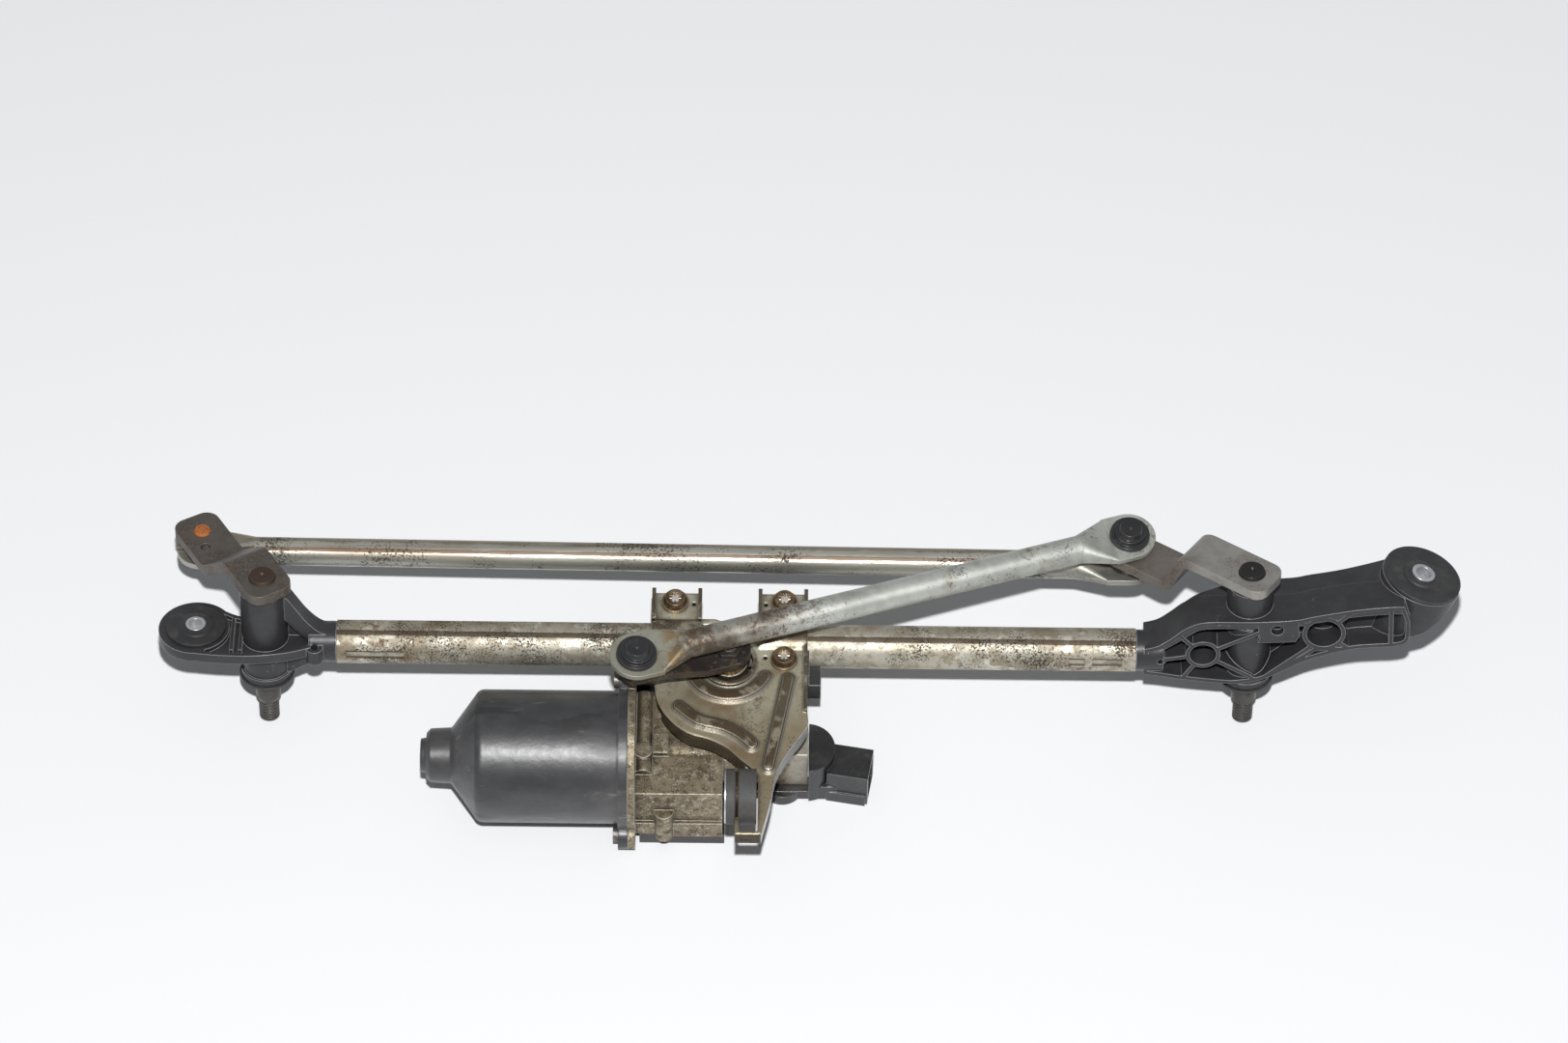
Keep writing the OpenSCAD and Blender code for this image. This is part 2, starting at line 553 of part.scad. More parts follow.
module bracket_grommet() {
  color([0.15, 0.15, 0.15]) grommet_axis() difference() {
    union() {
      translate([0, 0, eye_t / 2 + 0.02]) cylinder(r = 14, h = 8.8);
      translate([0, 0, -eye_t / 2 - 0.02]) cylinder(r = 9.5 - seat_fit, h = eye_t + 0.04);
      translate([0, 0, -eye_t / 2 - 4.4]) cylinder(r = 14, h = 4.38);
    }
    translate([0, 0, -20]) cylinder(r = grommet_bore + 1.6 + seat_fit, h = 40);
  }
}
module grommet_sleeve() {
  color([0.75, 0.75, 0.72]) grommet_axis() {
    translate([0, 0, -eye_t / 2 - 4.8]) ring(grommet_bore + 1.6, grommet_bore, 15.4);
    translate([0, 0, -eye_t / 2 - 5.3]) ring(13.4, grommet_bore, 0.88);
  }
}

// Black cradle blocks that hold the tube up against the bracket's saddle.
module cradle(x0, x1) {
  difference() {
    union() {
      block([x0, -23, cradle_low], [x1, 23, plate_top - plate_t - 0.05]);
    }
    along_x(-80, 80, tube_radius + run_fit);
    for (y = [bolt_front, bolt_back], x = [-bolt_dx, bolt_dx]) translate([shaft_x + x, y, -8]) cylinder(r = bolt_r, h = 30);
    screw_pair() translate([0, 0, cradle_low - 1]) cylinder(r = 2.5, h = 10);
    translate([-80, -40, plate_top - 12]) cube([36.5, 80, 20]);
    translate([37, -40, -1]) cube([30, 80, 20]);
    translate([-80, 12, cradle_low - 1]) cube([36.5, 40, 40]);
    translate([37, 12, cradle_low - 1]) cube([30, 40, 40]);
  }
}
module tube_cradles() {
  color([0.09, 0.09, 0.1]) place() { cradle(-50, -18); cradle(11, 43); }
}
module bracket_bolts() {
  color([0.5, 0.42, 0.33]) place() for (x = [-bolt_dx, bolt_dx], y = [bolt_front, bolt_back])
    translate([shaft_x + x, y, plate_top + 0.02]) difference() {
      union() {
        translate([0, 0, -17]) cylinder(r = bolt_r - 0.02, h = 17.5);
        cylinder(r = 6.8, h = 1.6);
        translate([0, 0, 1.5]) cylinder(r1 = 6.2, r2 = 5, h = 3.6);
      }
      translate([0, 0, 2.6]) for (i = [0 : 2]) rotate([0, 0, 60 * i]) translate([-2.9, -0.9, 0]) cube([5.8, 1.8, 5]);
    }
}

// Places of the two screws that hold the gear housing up against the cradles.
module screw_pair() {
  for (x = [-screw_dx, screw_dx]) translate([shaft_x + x, shaft_y + screw_dy, 0]) children();
}
// Gear housing: wheel chamber, worm tunnel, top block and shaft boss.
lug_r = can_radius + 5.9;
lug_end = 37;
boss_x = -46.2;
module lug_angles() { for (a = [39, 219]) rotate([a, 0, 0]) children(); }
module flange_plan() {
  intersection() {
    circle(r = can_radius + 2.8);
    translate([-60, -floor_z - worm_z + 0.1]) square([120, 100]);
  }
  for (a = [41, 221]) rotate(a) translate([lug_r, 0]) circle(r = 7.4);
}
// Outline in the motor's end view: first axis is Z up, second is Y, so that rotate matches the can.
module end_view() { rotate([0, 0, 0]) mirror([1, -1, 0]) children(); }
module gear_housing() {
  color([0.5, 0.47, 0.42]) place() difference() {
    union() {
      translate([shaft_x, shaft_y, cover_top]) cylinder(r = wheel_radius + 5, h = roof_top - cover_top);
      translate([0, worm_y, worm_z]) along_x(flange_x + 2, 20, 12);
      block([flange_x + 3, worm_y - 28.5, cover_top], [-6, -24, worm_z + 11]);
      block([14, worm_y + 1, cover_top], [lug_end, worm_y + 19, -16]);
      translate([shaft_x, shaft_y, roof_top - 1]) cylinder(r = 9.5, h = 13 - roof_top + 1);
      screw_pair() translate([0, 0, -24]) cylinder(r = 6.4, h = roof_top + 24);
      for (x = [-screw_dx, screw_dx]) block([shaft_x + x - 6, 10, -24], [shaft_x + x + 6, shaft_y + screw_dy, roof_top]);
      // mating flange
      translate([flange_x + 3.8, worm_y, worm_z]) rotate([0, -90, 0]) linear_extrude(3.8) end_view() flange_plan();
      // cast bosses and ridge on the top and the front
      translate([boss_x, worm_y - 5.5, worm_z + 9]) cylinder(r = 4.7, h = 7);
      block([-41, worm_y - 6, worm_z + 9], [-33.7, worm_y + 6, worm_z + 14.4]);
      translate([boss_x, worm_y - 17, worm_z + 10.6]) rotate([-90, 0, 0]) cylinder(r = 4.5, h = 17 - 26 - worm_y);
      translate([-35.5, worm_y - 29, cover_top]) cylinder(r = 5, h = 22);
      block([-50, worm_y - 30.5, cover_top], [-6, worm_y - 20, cover_top + 12]);
    }
    // chamber, tunnel, shaft and bush seats
    translate([shaft_x, shaft_y, cover_top - 1]) cylinder(r = wheel_radius + 2, h = -14.8 - cover_top + 1);
    translate([0, worm_y, worm_z]) along_x(flange_x - 1, 14, 8.4);
    translate([0, worm_y, worm_z]) along_x(flange_x - 1, flange_x + 2.6, 22);
    translate([shaft_x, shaft_y, -30]) cylinder(r = shaft_r + gap, h = 60);
    for (z = [[-15, -6], [6, 14]]) translate([shaft_x, shaft_y, z[0]]) cylinder(r = shaft_r + 1.5, h = z[1] - z[0]);
    along_x(-60, 60, tube_radius + gap);
    screw_pair() translate([0, 0, -30]) cylinder(r = 2.7, h = 30);
    screw_pair() translate([0, 0, -52]) cylinder(r = 6, h = 26.5);
    block([-45, worm_y - 25, cover_top - 1], [-11, worm_y - 13.5, -24]);
    translate([flange_x - 1, worm_y, worm_z]) lug_x() cylinder(r = 2.3, h = 20);
  }
}
module lug_x() {
  for (a = [41, 221]) rotate([a, 0, 0]) translate([0, lug_r, 0]) rotate([0, 90, 0]) children();
}
module shaft_bushes() {
  color([0.66, 0.5, 0.3]) at_shaft() {
    translate([0, 0, -14.8]) ring(shaft_r + 1.5 - seat_fit, shaft_r + run_fit, 8.7);
    translate([0, 0, 6.1]) ring(shaft_r + 1.5 - seat_fit, shaft_r + run_fit, 6.9);
  }
}

// Gear cover with the connector.
conn = [58.4, worm_y + 5.3, -39.8];
module cover_plan() {
  translate([shaft_x, shaft_y]) circle(r = wheel_radius + 7);
  translate([-48, worm_y - 29.5]) square([43, 60]);
}
module gear_cover() {
  color([0.07, 0.07, 0.075]) place() difference() {
    union() {
      translate([0, 0, cover_low]) linear_extrude(cover_top - cover_low - 0.05) cover_plan();
      // arm, boot and shell of the connector
      block([24, worm_y - 3, cover_low + 1], [52, worm_y + 6, cover_top - 0.3]);
      block([lug_end + 0.4, worm_y - 3, cover_low + 2], [52, worm_y + 6, cover_low + 12]);
      intersection() {
        translate([36.4, worm_y + 10, cover_low + 1]) cylinder(r = 14.3, h = 28);
        block([lug_end + 0.4, worm_y - 20, cover_low], [60, worm_y + 40, 0]);
      }
      translate([24, worm_y + 4, cover_low + 0.5]) cylinder(r = 10.5, h = 7);
      block([10, worm_y - 3, cover_low + 1], [30, worm_y + 6, cover_top - 0.3]);
      translate(conn) rotate([0, 0, -9.5]) translate([-10.5, -9.2, -12.2]) cube([21, 18.4, 23.4]);
      translate(conn) rotate([0, 0, -9.5]) translate([-10.5, -10.4, -12.2]) cube([20, 4, 8]);
    }
    translate([shaft_x, shaft_y, cover_low + 2.5]) cylinder(r = wheel_radius + 1, h = 20);
    translate(conn) rotate([0, 0, -9.5]) translate([-6.5, -7, -10]) cube([20, 14, 19]);
    screw_pair() translate([0, 0, cover_low - 1]) cylinder(r = 6, h = 20);
  }
}
module connector_pins() {
  color([0.78, 0.72, 0.5]) place() translate(conn) rotate([0, 0, -9.5])
    for (y = [-3.5, 2.7], z = [-5, 3]) translate([-6.48, y, z]) cube([11, 0.8, 4.6]);
}

// Motor can about its axis; z runs from the flange towards the nose.
module can_profile() {
  polygon(concat([[0, 0], [can_radius, 0], [can_radius, can_length - 1]],
    arc_pts([can_radius - 5, can_length - 1], 5, 0, 62),
    [[15.4, can_length + 14.6], [14.2, can_length + 15.6], [13.6, can_length + 26], [11.6, can_length + 28], [9, can_length + 28.2],
    [8.4, can_length + 31], [0, can_length + 31.4]]));
}
module motor_can() {
  color([0.08, 0.08, 0.085]) at_motor() difference() {
    union() {
      translate([0, 0, flange_t]) rotate_extrude() can_profile();
      linear_extrude(flange_t) end_view() flange_plan();
    }
    translate([0, 0, -1]) cylinder(r = can_radius - can_wall, h = can_length + 4);
    translate([0, 0, can_length + 2]) cylinder(r1 = can_radius - 3, r2 = 13, h = 12);
    translate([0, 0, can_length + 10]) cylinder(r = 9, h = 18);
    rotate([0, 90, 0]) translate([1, 0, 0]) lug_x() cylinder(r = 2.7, h = 40, center = true);
  }
}
module can_screws() {
  color([0.55, 0.53, 0.5]) place() translate([flange_x - flange_t - 0.02, worm_y, worm_z]) lug_x() difference() {
    union() {
      translate([0, 0, -2.6]) cylinder(r = 4.2, h = 2.6);
      translate([0, 0, -0.1]) cylinder(r = 2.28, h = flange_t + 3.4);
    }
    translate([0, 0, -3]) cylinder(r = 1.8, h = 1.6);
  }
}
module housing_screws() {
  color([0.55, 0.53, 0.5]) place() screw_pair() translate([0, 0, -25.5 - 0.02]) {
    translate([0, 0, -3.6]) cylinder(r = 4.6, h = 3.6);
    translate([0, 0, -0.1]) cylinder(r = 2.48, h = 18.6);
  }
}
// Magnets, brush gear and armature, from the can wall inwards.
core_r = can_radius - can_wall - magnet_t - air_gap;
module magnets() {
  color([0.2, 0.2, 0.21]) at_motor() difference() {
    translate([0, 0, 17]) ring(can_radius - can_wall - seat_fit, core_r + air_gap, 46);
    for (a = [0, 180]) rotate([0, 0, a]) translate([-9, 0, 0]) cube([18, 40, 100]);
  }
}
module brush_plate() {
  color([0.3, 0.25, 0.18]) at_motor() translate([0, 0, 3]) difference() {
    cylinder(r = can_radius - can_wall - seat_fit, h = 2.4);
    translate([0, 0, -1]) cylinder(r = 13.5, h = 5);
  }
}
module brushes() {
  color([0.12, 0.12, 0.12]) at_motor() for (a = [0, 180]) rotate([0, 0, a])
    translate([11.4, -3, 5.5]) cube([11, 6, 7]);
}
module armature_bushes() {
  color([0.66, 0.5, 0.3]) at_motor() {
    translate([0, 0, can_length + 18]) ring(9 - seat_fit, 4 + run_fit, 9);
    translate([0, 0, -24]) ring(8.4 - seat_fit, 4 + run_fit, 8);
    translate([0, 0, flange_x - 13.5]) ring(8.4 - seat_fit, 4 + run_fit, 7);
  }
}
module armature_shaft() {
  color([0.6, 0.6, 0.6]) at_motor() {
    translate([0, 0, flange_x - 13.2]) cylinder(r = 4, h = can_length + 26 + 13.2 - flange_x);
    translate([0, 0, flange_x - 5.5]) cylinder(r = 6.4, h = 28);
  }
}
module armature_core() { color([0.35, 0.33, 0.3]) at_motor() translate([0, 0, 21]) ring(core_r, 4 + 0.02, 38); }
module windings() {
  color([0.62, 0.34, 0.14]) at_motor() for (z = [14.2, 59.05]) translate([0, 0, z]) ring(core_r - 3.6, 4 + 0.02, 6.75);
}
module commutator() { color([0.7, 0.42, 0.2]) at_motor() translate([0, 0, 4]) ring(11, 4 + 0.02, 10); }

// Crank side.
module output_shaft() {
  color([0.6, 0.6, 0.6]) at_shaft() {
    translate([0, 0, -24]) cylinder(r = shaft_r, h = 24 + hub_low);
    translate([0, 0, hub_low - eps]) cylinder(r = 4.4, h = hub_t + 2.8);
  }
}
module worm_wheel() {
  color([0.85, 0.83, 0.75]) at_shaft() translate([0, 0, -21]) difference() {
    cylinder(r = wheel_radius, h = 6);
    translate([0, 0, -1]) cylinder(r = shaft_r + 0.02, h = 8);
    for (i = [0 : 59]) rotate([0, 0, 6 * i]) translate([wheel_radius - 1.8, -0.8, -1]) cube([4, 1.6, 8]);
    translate([0, 0, 4]) ring(26, 10, 3);
  }
}
module crank_arm() {
  color([0.09, 0.085, 0.08]) at_shaft() translate([0, 0, hub_low]) rotate([0, 0, crank_angle]) difference() {
    intersection() {
      translate([0, 12, 0]) rotate([90, 0, 0]) linear_extrude(24) mirror([0, 1])
        strap_side(crank_length, 14, 36, crank_rise, hub_t, 6);
      translate([0, 0, -40]) linear_extrude(80) {
        circle(r = 11);
        translate([crank_length, 0]) circle(r = 9.4);
        polygon([[0, -11], [crank_length, -9.4], [crank_length, 9.4], [0, 11]]);
      }
    }
    translate([0, 0, -20]) cylinder(r = 4.4 + 0.02, h = 40);
    translate([crank_length, 0, -20]) cylinder(r = neck_radius + 0.02, h = 60);
  }
}
module crank_nut() {
  color([0.5, 0.47, 0.42]) at_shaft() translate([0, 0, hub_low + hub_t + 0.02]) difference() {
    cylinder(r = 7.8, h = 2.6, $fn = 6);
    translate([0, 0, -1]) cylinder(r = 4.4 + 0.02, h = 6);
  }
}
module thrust_washer() {
  color([0.7, 0.55, 0.28]) at_shaft() translate([0, 0, 13.3]) ring(8.3, shaft_r + 0.1, 2);
}

frame_tube();
left_housing();
right_housing();
spindle_bushes();
spindle_seals();
lever_washers();
left_mount_bush();
left_mount_sleeve();
right_mount_bush();
right_mount_sleeve();
motor_bracket();
tube_cradles();
bracket_bolts();
bracket_grommet();
grommet_sleeve();
gear_housing();
gear_cover();
connector_pins();
shaft_bushes();
motor_can();
can_screws();
housing_screws();
magnets();
brush_plate();
brushes();
armature_bushes();
output_shaft();
worm_wheel();
crank_arm();
crank_nut();
crank_ball_stud();
thrust_washer();
drive_link();
drive_sockets();
drive_ball_stud();
right_spindle();
right_lever_arm();
tie_ball_stud();
tie_link();
tie_sockets();
left_ball_stud();
left_spindle();
left_lever_arm();
left_lever_rivet();
armature_shaft();
armature_core();
windings();
commutator();
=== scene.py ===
# %% [markdown]
# # A used wiper linkage on a white table
#
# This lesson dresses a imported CAD assembly: a zinc plated tube frame, two black castings, a
# stamped bracket, a geared motor and two links. The shapes come from the frame and are never
# moved here. What is added is the surface: grain, stains, rust, grime, worn edges, painted shade,
# painted highlights, and then light and a camera.
#
# The first cell loads the frame.

# %% Load the frame
from collections import namedtuple
import math
import bpy
import numpy as np
from mathutils import Matrix, Vector

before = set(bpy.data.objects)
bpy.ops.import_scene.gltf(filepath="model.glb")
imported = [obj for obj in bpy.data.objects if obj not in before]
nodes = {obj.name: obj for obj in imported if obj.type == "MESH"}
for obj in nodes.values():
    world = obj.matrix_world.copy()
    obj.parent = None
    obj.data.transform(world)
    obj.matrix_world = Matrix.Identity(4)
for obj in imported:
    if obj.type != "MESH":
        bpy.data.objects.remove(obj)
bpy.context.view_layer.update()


print("frame nodes:", len(nodes))

# %% [markdown]
# ## Smooth walls on the two castings
#
# The pivot housings are castings with long curved walls. The CAD model draws those walls as
# narrow flat strips, which show as stripes in a reflection. The castings could be modelled
# again with more strips, but modifiers are enough: they join the corners, shade the walls
# smooth up to an angle and leave the CAD mesh itself as it is. Shade smooth is a small geometry
# node tree.

# %% Geometry nodes that shade smooth
smooth = bpy.data.node_groups.new("shade smooth", "GeometryNodeTree")
for way in ("INPUT", "OUTPUT"):
    smooth.interface.new_socket("Geometry", in_out=way, socket_type="NodeSocketGeometry")
shade = smooth.nodes.new("GeometryNodeSetShadeSmooth")
smooth.links.new(smooth.nodes.new("NodeGroupInput").outputs[0], shade.inputs["Geometry"])
smooth.links.new(shade.outputs[0], smooth.nodes.new("NodeGroupOutput").inputs[0])
print("geometry nodes:", smooth.name)

# %% [markdown]
# Corners of the real castings stay crisp, so edges sharper than the angle are split before the
# normals are counted. Weighing the normals by area keeps thin triangles from showing.

# %% Smooth the castings
SAME_CORNER = 0.00001
SMOOTH_ANGLE = math.radians(24)
AREA_WEIGHT = 80
for name in ("left_housing", "right_housing"):
    casting = nodes[name]
    casting.modifiers.new("join corners", "WELD").merge_threshold = SAME_CORNER
    casting.modifiers.new("shade smooth", "NODES").node_group = smooth
    casting.modifiers.new("split by angle", "EDGE_SPLIT").split_angle = SMOOTH_ANGLE
    casting.modifiers.new("weigh normals", "WEIGHTED_NORMAL").weight = AREA_WEIGHT
    print("smoothed", name)

# %% [markdown]
# ## Small tools for shader trees
#
# A shader tree is a list of nodes and wires. It could be drawn by hand in the shader editor,
# but many materials would take long and drift apart. `Tree` keeps the code short: `add` makes a
# node and sets its sockets, and a value that is a socket becomes a wire. Where the inputs of a
# node share a name, `i_6` stands for input number 6: the colours of a Mix node are its inputs 6
# and 7 and its output 2.

# %% A short way to write shader trees
class Tree:
    def __init__(self, tree):
        self.tree = tree

    def add(self, kind, props=None, out=0, **sockets):
        node = self.tree.nodes.new(kind)
        for key, value in (props or {}).items():
            setattr(node, key, value)
        for key, value in sockets.items():
            place = int(key[2:]) if key.startswith("i_") else key.replace("_", " ")
            self.put(node.inputs[place], value)
        return node.outputs[out] if node.outputs else node

    def put(self, socket, value):
        if isinstance(value, bpy.types.NodeSocket):
            self.tree.links.new(value, socket)
        else:
            socket.default_value = value

    def math(self, op, a, b=0.0, clamp=False):
        return self.add("ShaderNodeMath", {"operation": op, "use_clamp": clamp}, i_0=a, i_1=b)

    def vec(self, op, a, b=(0, 0, 0), out="Vector"):
        return self.add("ShaderNodeVectorMath", {"operation": op}, out=out, i_0=a, i_1=b)

    def ramp(self, value, low, high):
        return self.add("ShaderNodeMapRange", {"interpolation_type": "SMOOTHSTEP"},
                        Value=value, From_Min=low, From_Max=high)

    def mix(self, factor, a, b):
        return self.add("ShaderNodeMix", {"data_type": "RGBA"}, out=2, i_0=factor, i_6=a, i_7=b)


print("shader tools ready")

# %% [markdown]
# The effects below also share a few steps. `spot` is the place on the object in metres, `noise`
# a cloudy value there, `wobble` the same value swung about zero for ragged borders, and
# `off_axis` the way from a straight axis to the spot. They are plain functions, because each is
# only one or two nodes.

# %% Steps that the effects share
MIDDLE_OF_NOISE = 0.5


def spot(t):
    return t.add("ShaderNodeTexCoord", out="Object")


def noise(t, where, scale, **more):
    return t.add("ShaderNodeTexNoise", Vector=where, Scale=scale, **more)


def wobble(t, value, size):
    return t.math("MULTIPLY", t.math("SUBTRACT", value, MIDDLE_OF_NOISE), size)


def off_axis(t, where, point, axis):
    where = t.vec("SUBTRACT", where, point)
    return t.vec("SUBTRACT", where, t.vec("PROJECT", where, axis))


print("shared steps ready")

# %% [markdown]
# ## Effects that several materials share
#
# An effect that many materials need is a node group: built once, with named inputs, and placed
# in each material with its own values. `group` starts one and hands back its tree, inputs and
# outputs. `use` places one in a material and hands back its outputs.

# %% Make a group and place it
EVEN, HERE = (1, 1, 1), (0, 0, 0)


def group(name, ins, outs):
    tree = bpy.data.node_groups.new(name, "ShaderNodeTree")
    for label, kind, value in ins:
        socket = tree.interface.new_socket(label, in_out="INPUT", socket_type="NodeSocket" + kind)
        if value is not None:
            socket.default_value = value
    for label, kind in outs:
        tree.interface.new_socket(label, in_out="OUTPUT", socket_type="NodeSocket" + kind)
    start = tree.nodes.new("NodeGroupInput")
    end = tree.nodes.new("NodeGroupOutput")
    return Tree(tree), start.outputs, end.inputs


def use(t, name, label="", **sockets):
    node = t.tree.nodes.new("ShaderNodeGroup")
    node.node_tree = bpy.data.node_groups[name]
    node.label = label
    for key, value in sockets.items():
        t.put(node.inputs[key.replace("_", " ")], value)
    return node.outputs


print("groups can be made and placed")

# %% [markdown]
# **Mottle** is a cloudy mask, for stains, dust and patches of clean plating. `Stretch` squeezes
# the space first, so stains can run along a tube, and `Shift` moves it, so that two stains
# don't coincide. Lengths are metres, so a scale of 100 gives clouds about 10 mm wide.

# %% Group: mottle
t, i, o = group("mottle", [
    ("Scale", "Float", 80.0), ("Stretch", "Vector", EVEN), ("Low", "Float", 0.45),
    ("High", "Float", 0.65), ("Shift", "Vector", HERE)], [("Mask", "Float")])
where = t.vec("ADD", t.vec("MULTIPLY", spot(t), i["Stretch"]), i["Shift"])
cloud = noise(t, where, i["Scale"], Detail=7.0, Roughness=0.62, Distortion=0.25)
t.put(o["Mask"], t.ramp(cloud, i["Low"], i["High"]))
print("group mottle")

# %% [markdown]
# **Specks** are small dots that gather where a wide cloud is strong, like rust that blooms
# through thin plating. A plain fine noise would spread them evenly, so two noises are added,
# and `Amount` lowers the level above which a speck shows.

# %% Group: specks
WIDE_SHARE, FINE_SHARE = 0.55, 0.75
RAREST, MORE, SOFT_BORDER = 0.86, 0.34, 0.07
t, i, o = group("specks", [
    ("Scale", "Float", 900.0), ("Amount", "Float", 0.5), ("Gather", "Float", 60.0)],
    [("Mask", "Float")])
where = spot(t)
fine = noise(t, where, i["Scale"], Detail=3.0, Roughness=0.7)
wide = noise(t, where, i["Gather"], Detail=4.0)
level = t.math("ADD", t.math("MULTIPLY", wide, WIDE_SHARE), t.math("MULTIPLY", fine, FINE_SHARE))
edge = t.math("SUBTRACT", RAREST, t.math("MULTIPLY", i["Amount"], MORE))
t.put(o["Mask"], t.ramp(level, edge, t.math("ADD", edge, SOFT_BORDER)))
print("group specks")

# %% [markdown]
# ** Edges** rounds the corners in the shading only and gives a mask of where it had to bend the
# normal. Handled metal is worn brightest there, and on the black castings a pale colour there is a
# painted highlight. The Bevel node does it without adding a single face to the CAD shapes.

# %% Group: edges
SLIGHT_BEND, FULL_BEND = 0.02, 0.22
t, i, o = group("edges", [("Radius", "Float", 0.0006)], [("Mask", "Float"), ("Normal", "Vector")])
soft = t.add("ShaderNodeBevel", {"samples": 8}, Radius=i["Radius"])
flat = t.add("ShaderNodeNewGeometry", out="True Normal")
bent = t.math("SUBTRACT", 1.0, t.vec("DOT_PRODUCT", soft, flat, out="Value"))
t.put(o["Mask"], t.ramp(bent, SLIGHT_BEND, FULL_BEND))
t.put(o["Normal"], soft)
print("group edges")

# %% [markdown]
# **Grain** is a height for the bump: a fine roughness, as rolled, cast or plated metal has,
# plus shallow dents. Bump is enough for it, because nothing of it stands out against the
# background.

# %% Group: grain
DENT_SCALE = 140.0
t, i, o = group("grain", [
    ("Scale", "Float", 1500.0), ("Dents", "Float", 0.3), ("Stretch", "Vector", EVEN)],
    [("Height", "Float")])
where = t.vec("MULTIPLY", spot(t), i["Stretch"])
fine = noise(t, where, i["Scale"], Detail=4.0, Roughness=0.65)
dent = noise(t, where, DENT_SCALE, Detail=2.0)
t.put(o["Height"], t.math("ADD", fine, t.math("MULTIPLY", dent, i["Dents"])))
print("group grain")

# %% [markdown]
# ** Coat** lays one colour and roughness over another wherever a mask says so. Stains, rust,
# specks and worn edges are all laid on with it, one after the other, as they came onto the real
# pieces, and so are the painted shade and painted highlights.

# %% Group: coat
t, i, o = group("coat", [
    ("Mask", "Float", 0.0), ("Amount", "Float", 1.0), ("Colour", "Color", None),
    ("Rough", "Float", 0.4), ("Over Colour", "Color", None), ("Over Rough", "Float", 0.8)],
    [("Colour", "Color"), ("Rough", "Float")])
cover = t.math("MULTIPLY", i["Mask"], i["Amount"], clamp=True)
t.put(o["Colour"], t.mix(cover, i["Colour"], i["Over Colour"]))
span = t.math("SUBTRACT", i["Over Rough"], i["Rough"])
t.put(o["Rough"], t.math("ADD", i["Rough"], t.math("MULTIPLY", cover, span)))
print("group coat")

# %% [markdown]
# **Line** is a mask along one side of a straight tube. It needs a point on the tube's axis, the
# axis and the direction that the line faces. The frame tube and the tie link carry long stains
# of that kind, where water stood. A painted texture would need unwrapping, and this needs none.

# %% Group: line
LINE_WOBBLE_SCALE, LINE_WOBBLE, LINE_CORE = 60.0, 1.6, 0.5
t, i, o = group("line", [
    ("Point", "Vector", HERE), ("Axis", "Vector", (1, 0, 0)), ("Facing", "Vector", (0, 0, 1)),
    ("Width", "Float", 0.03)], [("Mask", "Float")])
where = spot(t)
out = off_axis(t, where, i["Point"], i["Axis"])
near = t.vec("DOT_PRODUCT", t.vec("NORMALIZE", out), i["Facing"], out="Value")
ragged = noise(t, where, LINE_WOBBLE_SCALE, Detail=5.0, Roughness=0.7)
near = t.math("ADD", near, wobble(t, ragged, t.math("MULTIPLY", i["Width"], LINE_WOBBLE)))
border = t.math("SUBTRACT", 1.0, i["Width"])
core = t.math("SUBTRACT", 1.0, t.math("MULTIPLY", i["Width"], LINE_CORE))
t.put(o["Mask"], t.ramp(near, border, core))
print("group line")

# %% [markdown]
# ** Sunk** finds what lies below the round face of a tube: the crimps that hold the frame tube
# on its castings. Painted shade darkens their rims and their floors are rubbed bright. The
# distance from the axis tells it, so the mask follows the real grooves.

# %% Group: sunk
FULLY_SUNK = 1.6
t, i, o = group("sunk", [
    ("Point", "Vector", HERE), ("Axis", "Vector", (1, 0, 0)), ("Radius", "Float", 0.011),
    ("Depth", "Float", 0.0003)], [("Mask", "Float")])
out = off_axis(t, spot(t), i["Point"], i["Axis"])
down = t.math("SUBTRACT", i["Radius"], t.vec("LENGTH", out, out="Value"))
t.put(o["Mask"], t.ramp(down, i["Depth"], t.math("MULTIPLY", i["Depth"], FULLY_SUNK)))
print("group sunk")

# %% [markdown]
# **Along** grows from nothing to full between two places along a direction, with a ragged
# border. It puts grime on one end of a link, or on the tops of pressed beads.

# %% Group: along
ALONG_WOBBLE_SCALE = 90.0
t, i, o = group("along", [
    ("Direction", "Vector", (1, 0, 0)), ("Low", "Float", 0.0), ("High", "Float", 0.01),
    ("Ragged", "Float", 0.0)], [("Mask", "Float")])
where = spot(t)
ragged = noise(t, where, ALONG_WOBBLE_SCALE, Detail=5.0, Roughness=0.65)
way = t.vec("DOT_PRODUCT", where, i["Direction"], out="Value")
t.put(o["Mask"], t.ramp(t.math("ADD", way, wobble(t, ragged, i["Ragged"])), i["Low"], i["High"]))
print("group along")

# %% [markdown]
# ** Facing** picks the faces that look in one direction, such as the bracket's right sides, which
# are greyer than its top, and its left sides, which carry painted shade. It reads the object's own
# normal, not the camera's place, so the mask stays where it is from every side.

# %% Group: facing
t, i, o = group("facing", [
    ("Direction", "Vector", (0, 0, 1)), ("Low", "Float", 0.4), ("High", "Float", 0.7)],
    [("Mask", "Float")])
normal = t.add("ShaderNodeNewGeometry", out="Normal")
look = t.vec("DOT_PRODUCT", normal, i["Direction"], out="Value")
t.put(o["Mask"], t.ramp(look, i["Low"], i["High"]))
print("group facing")
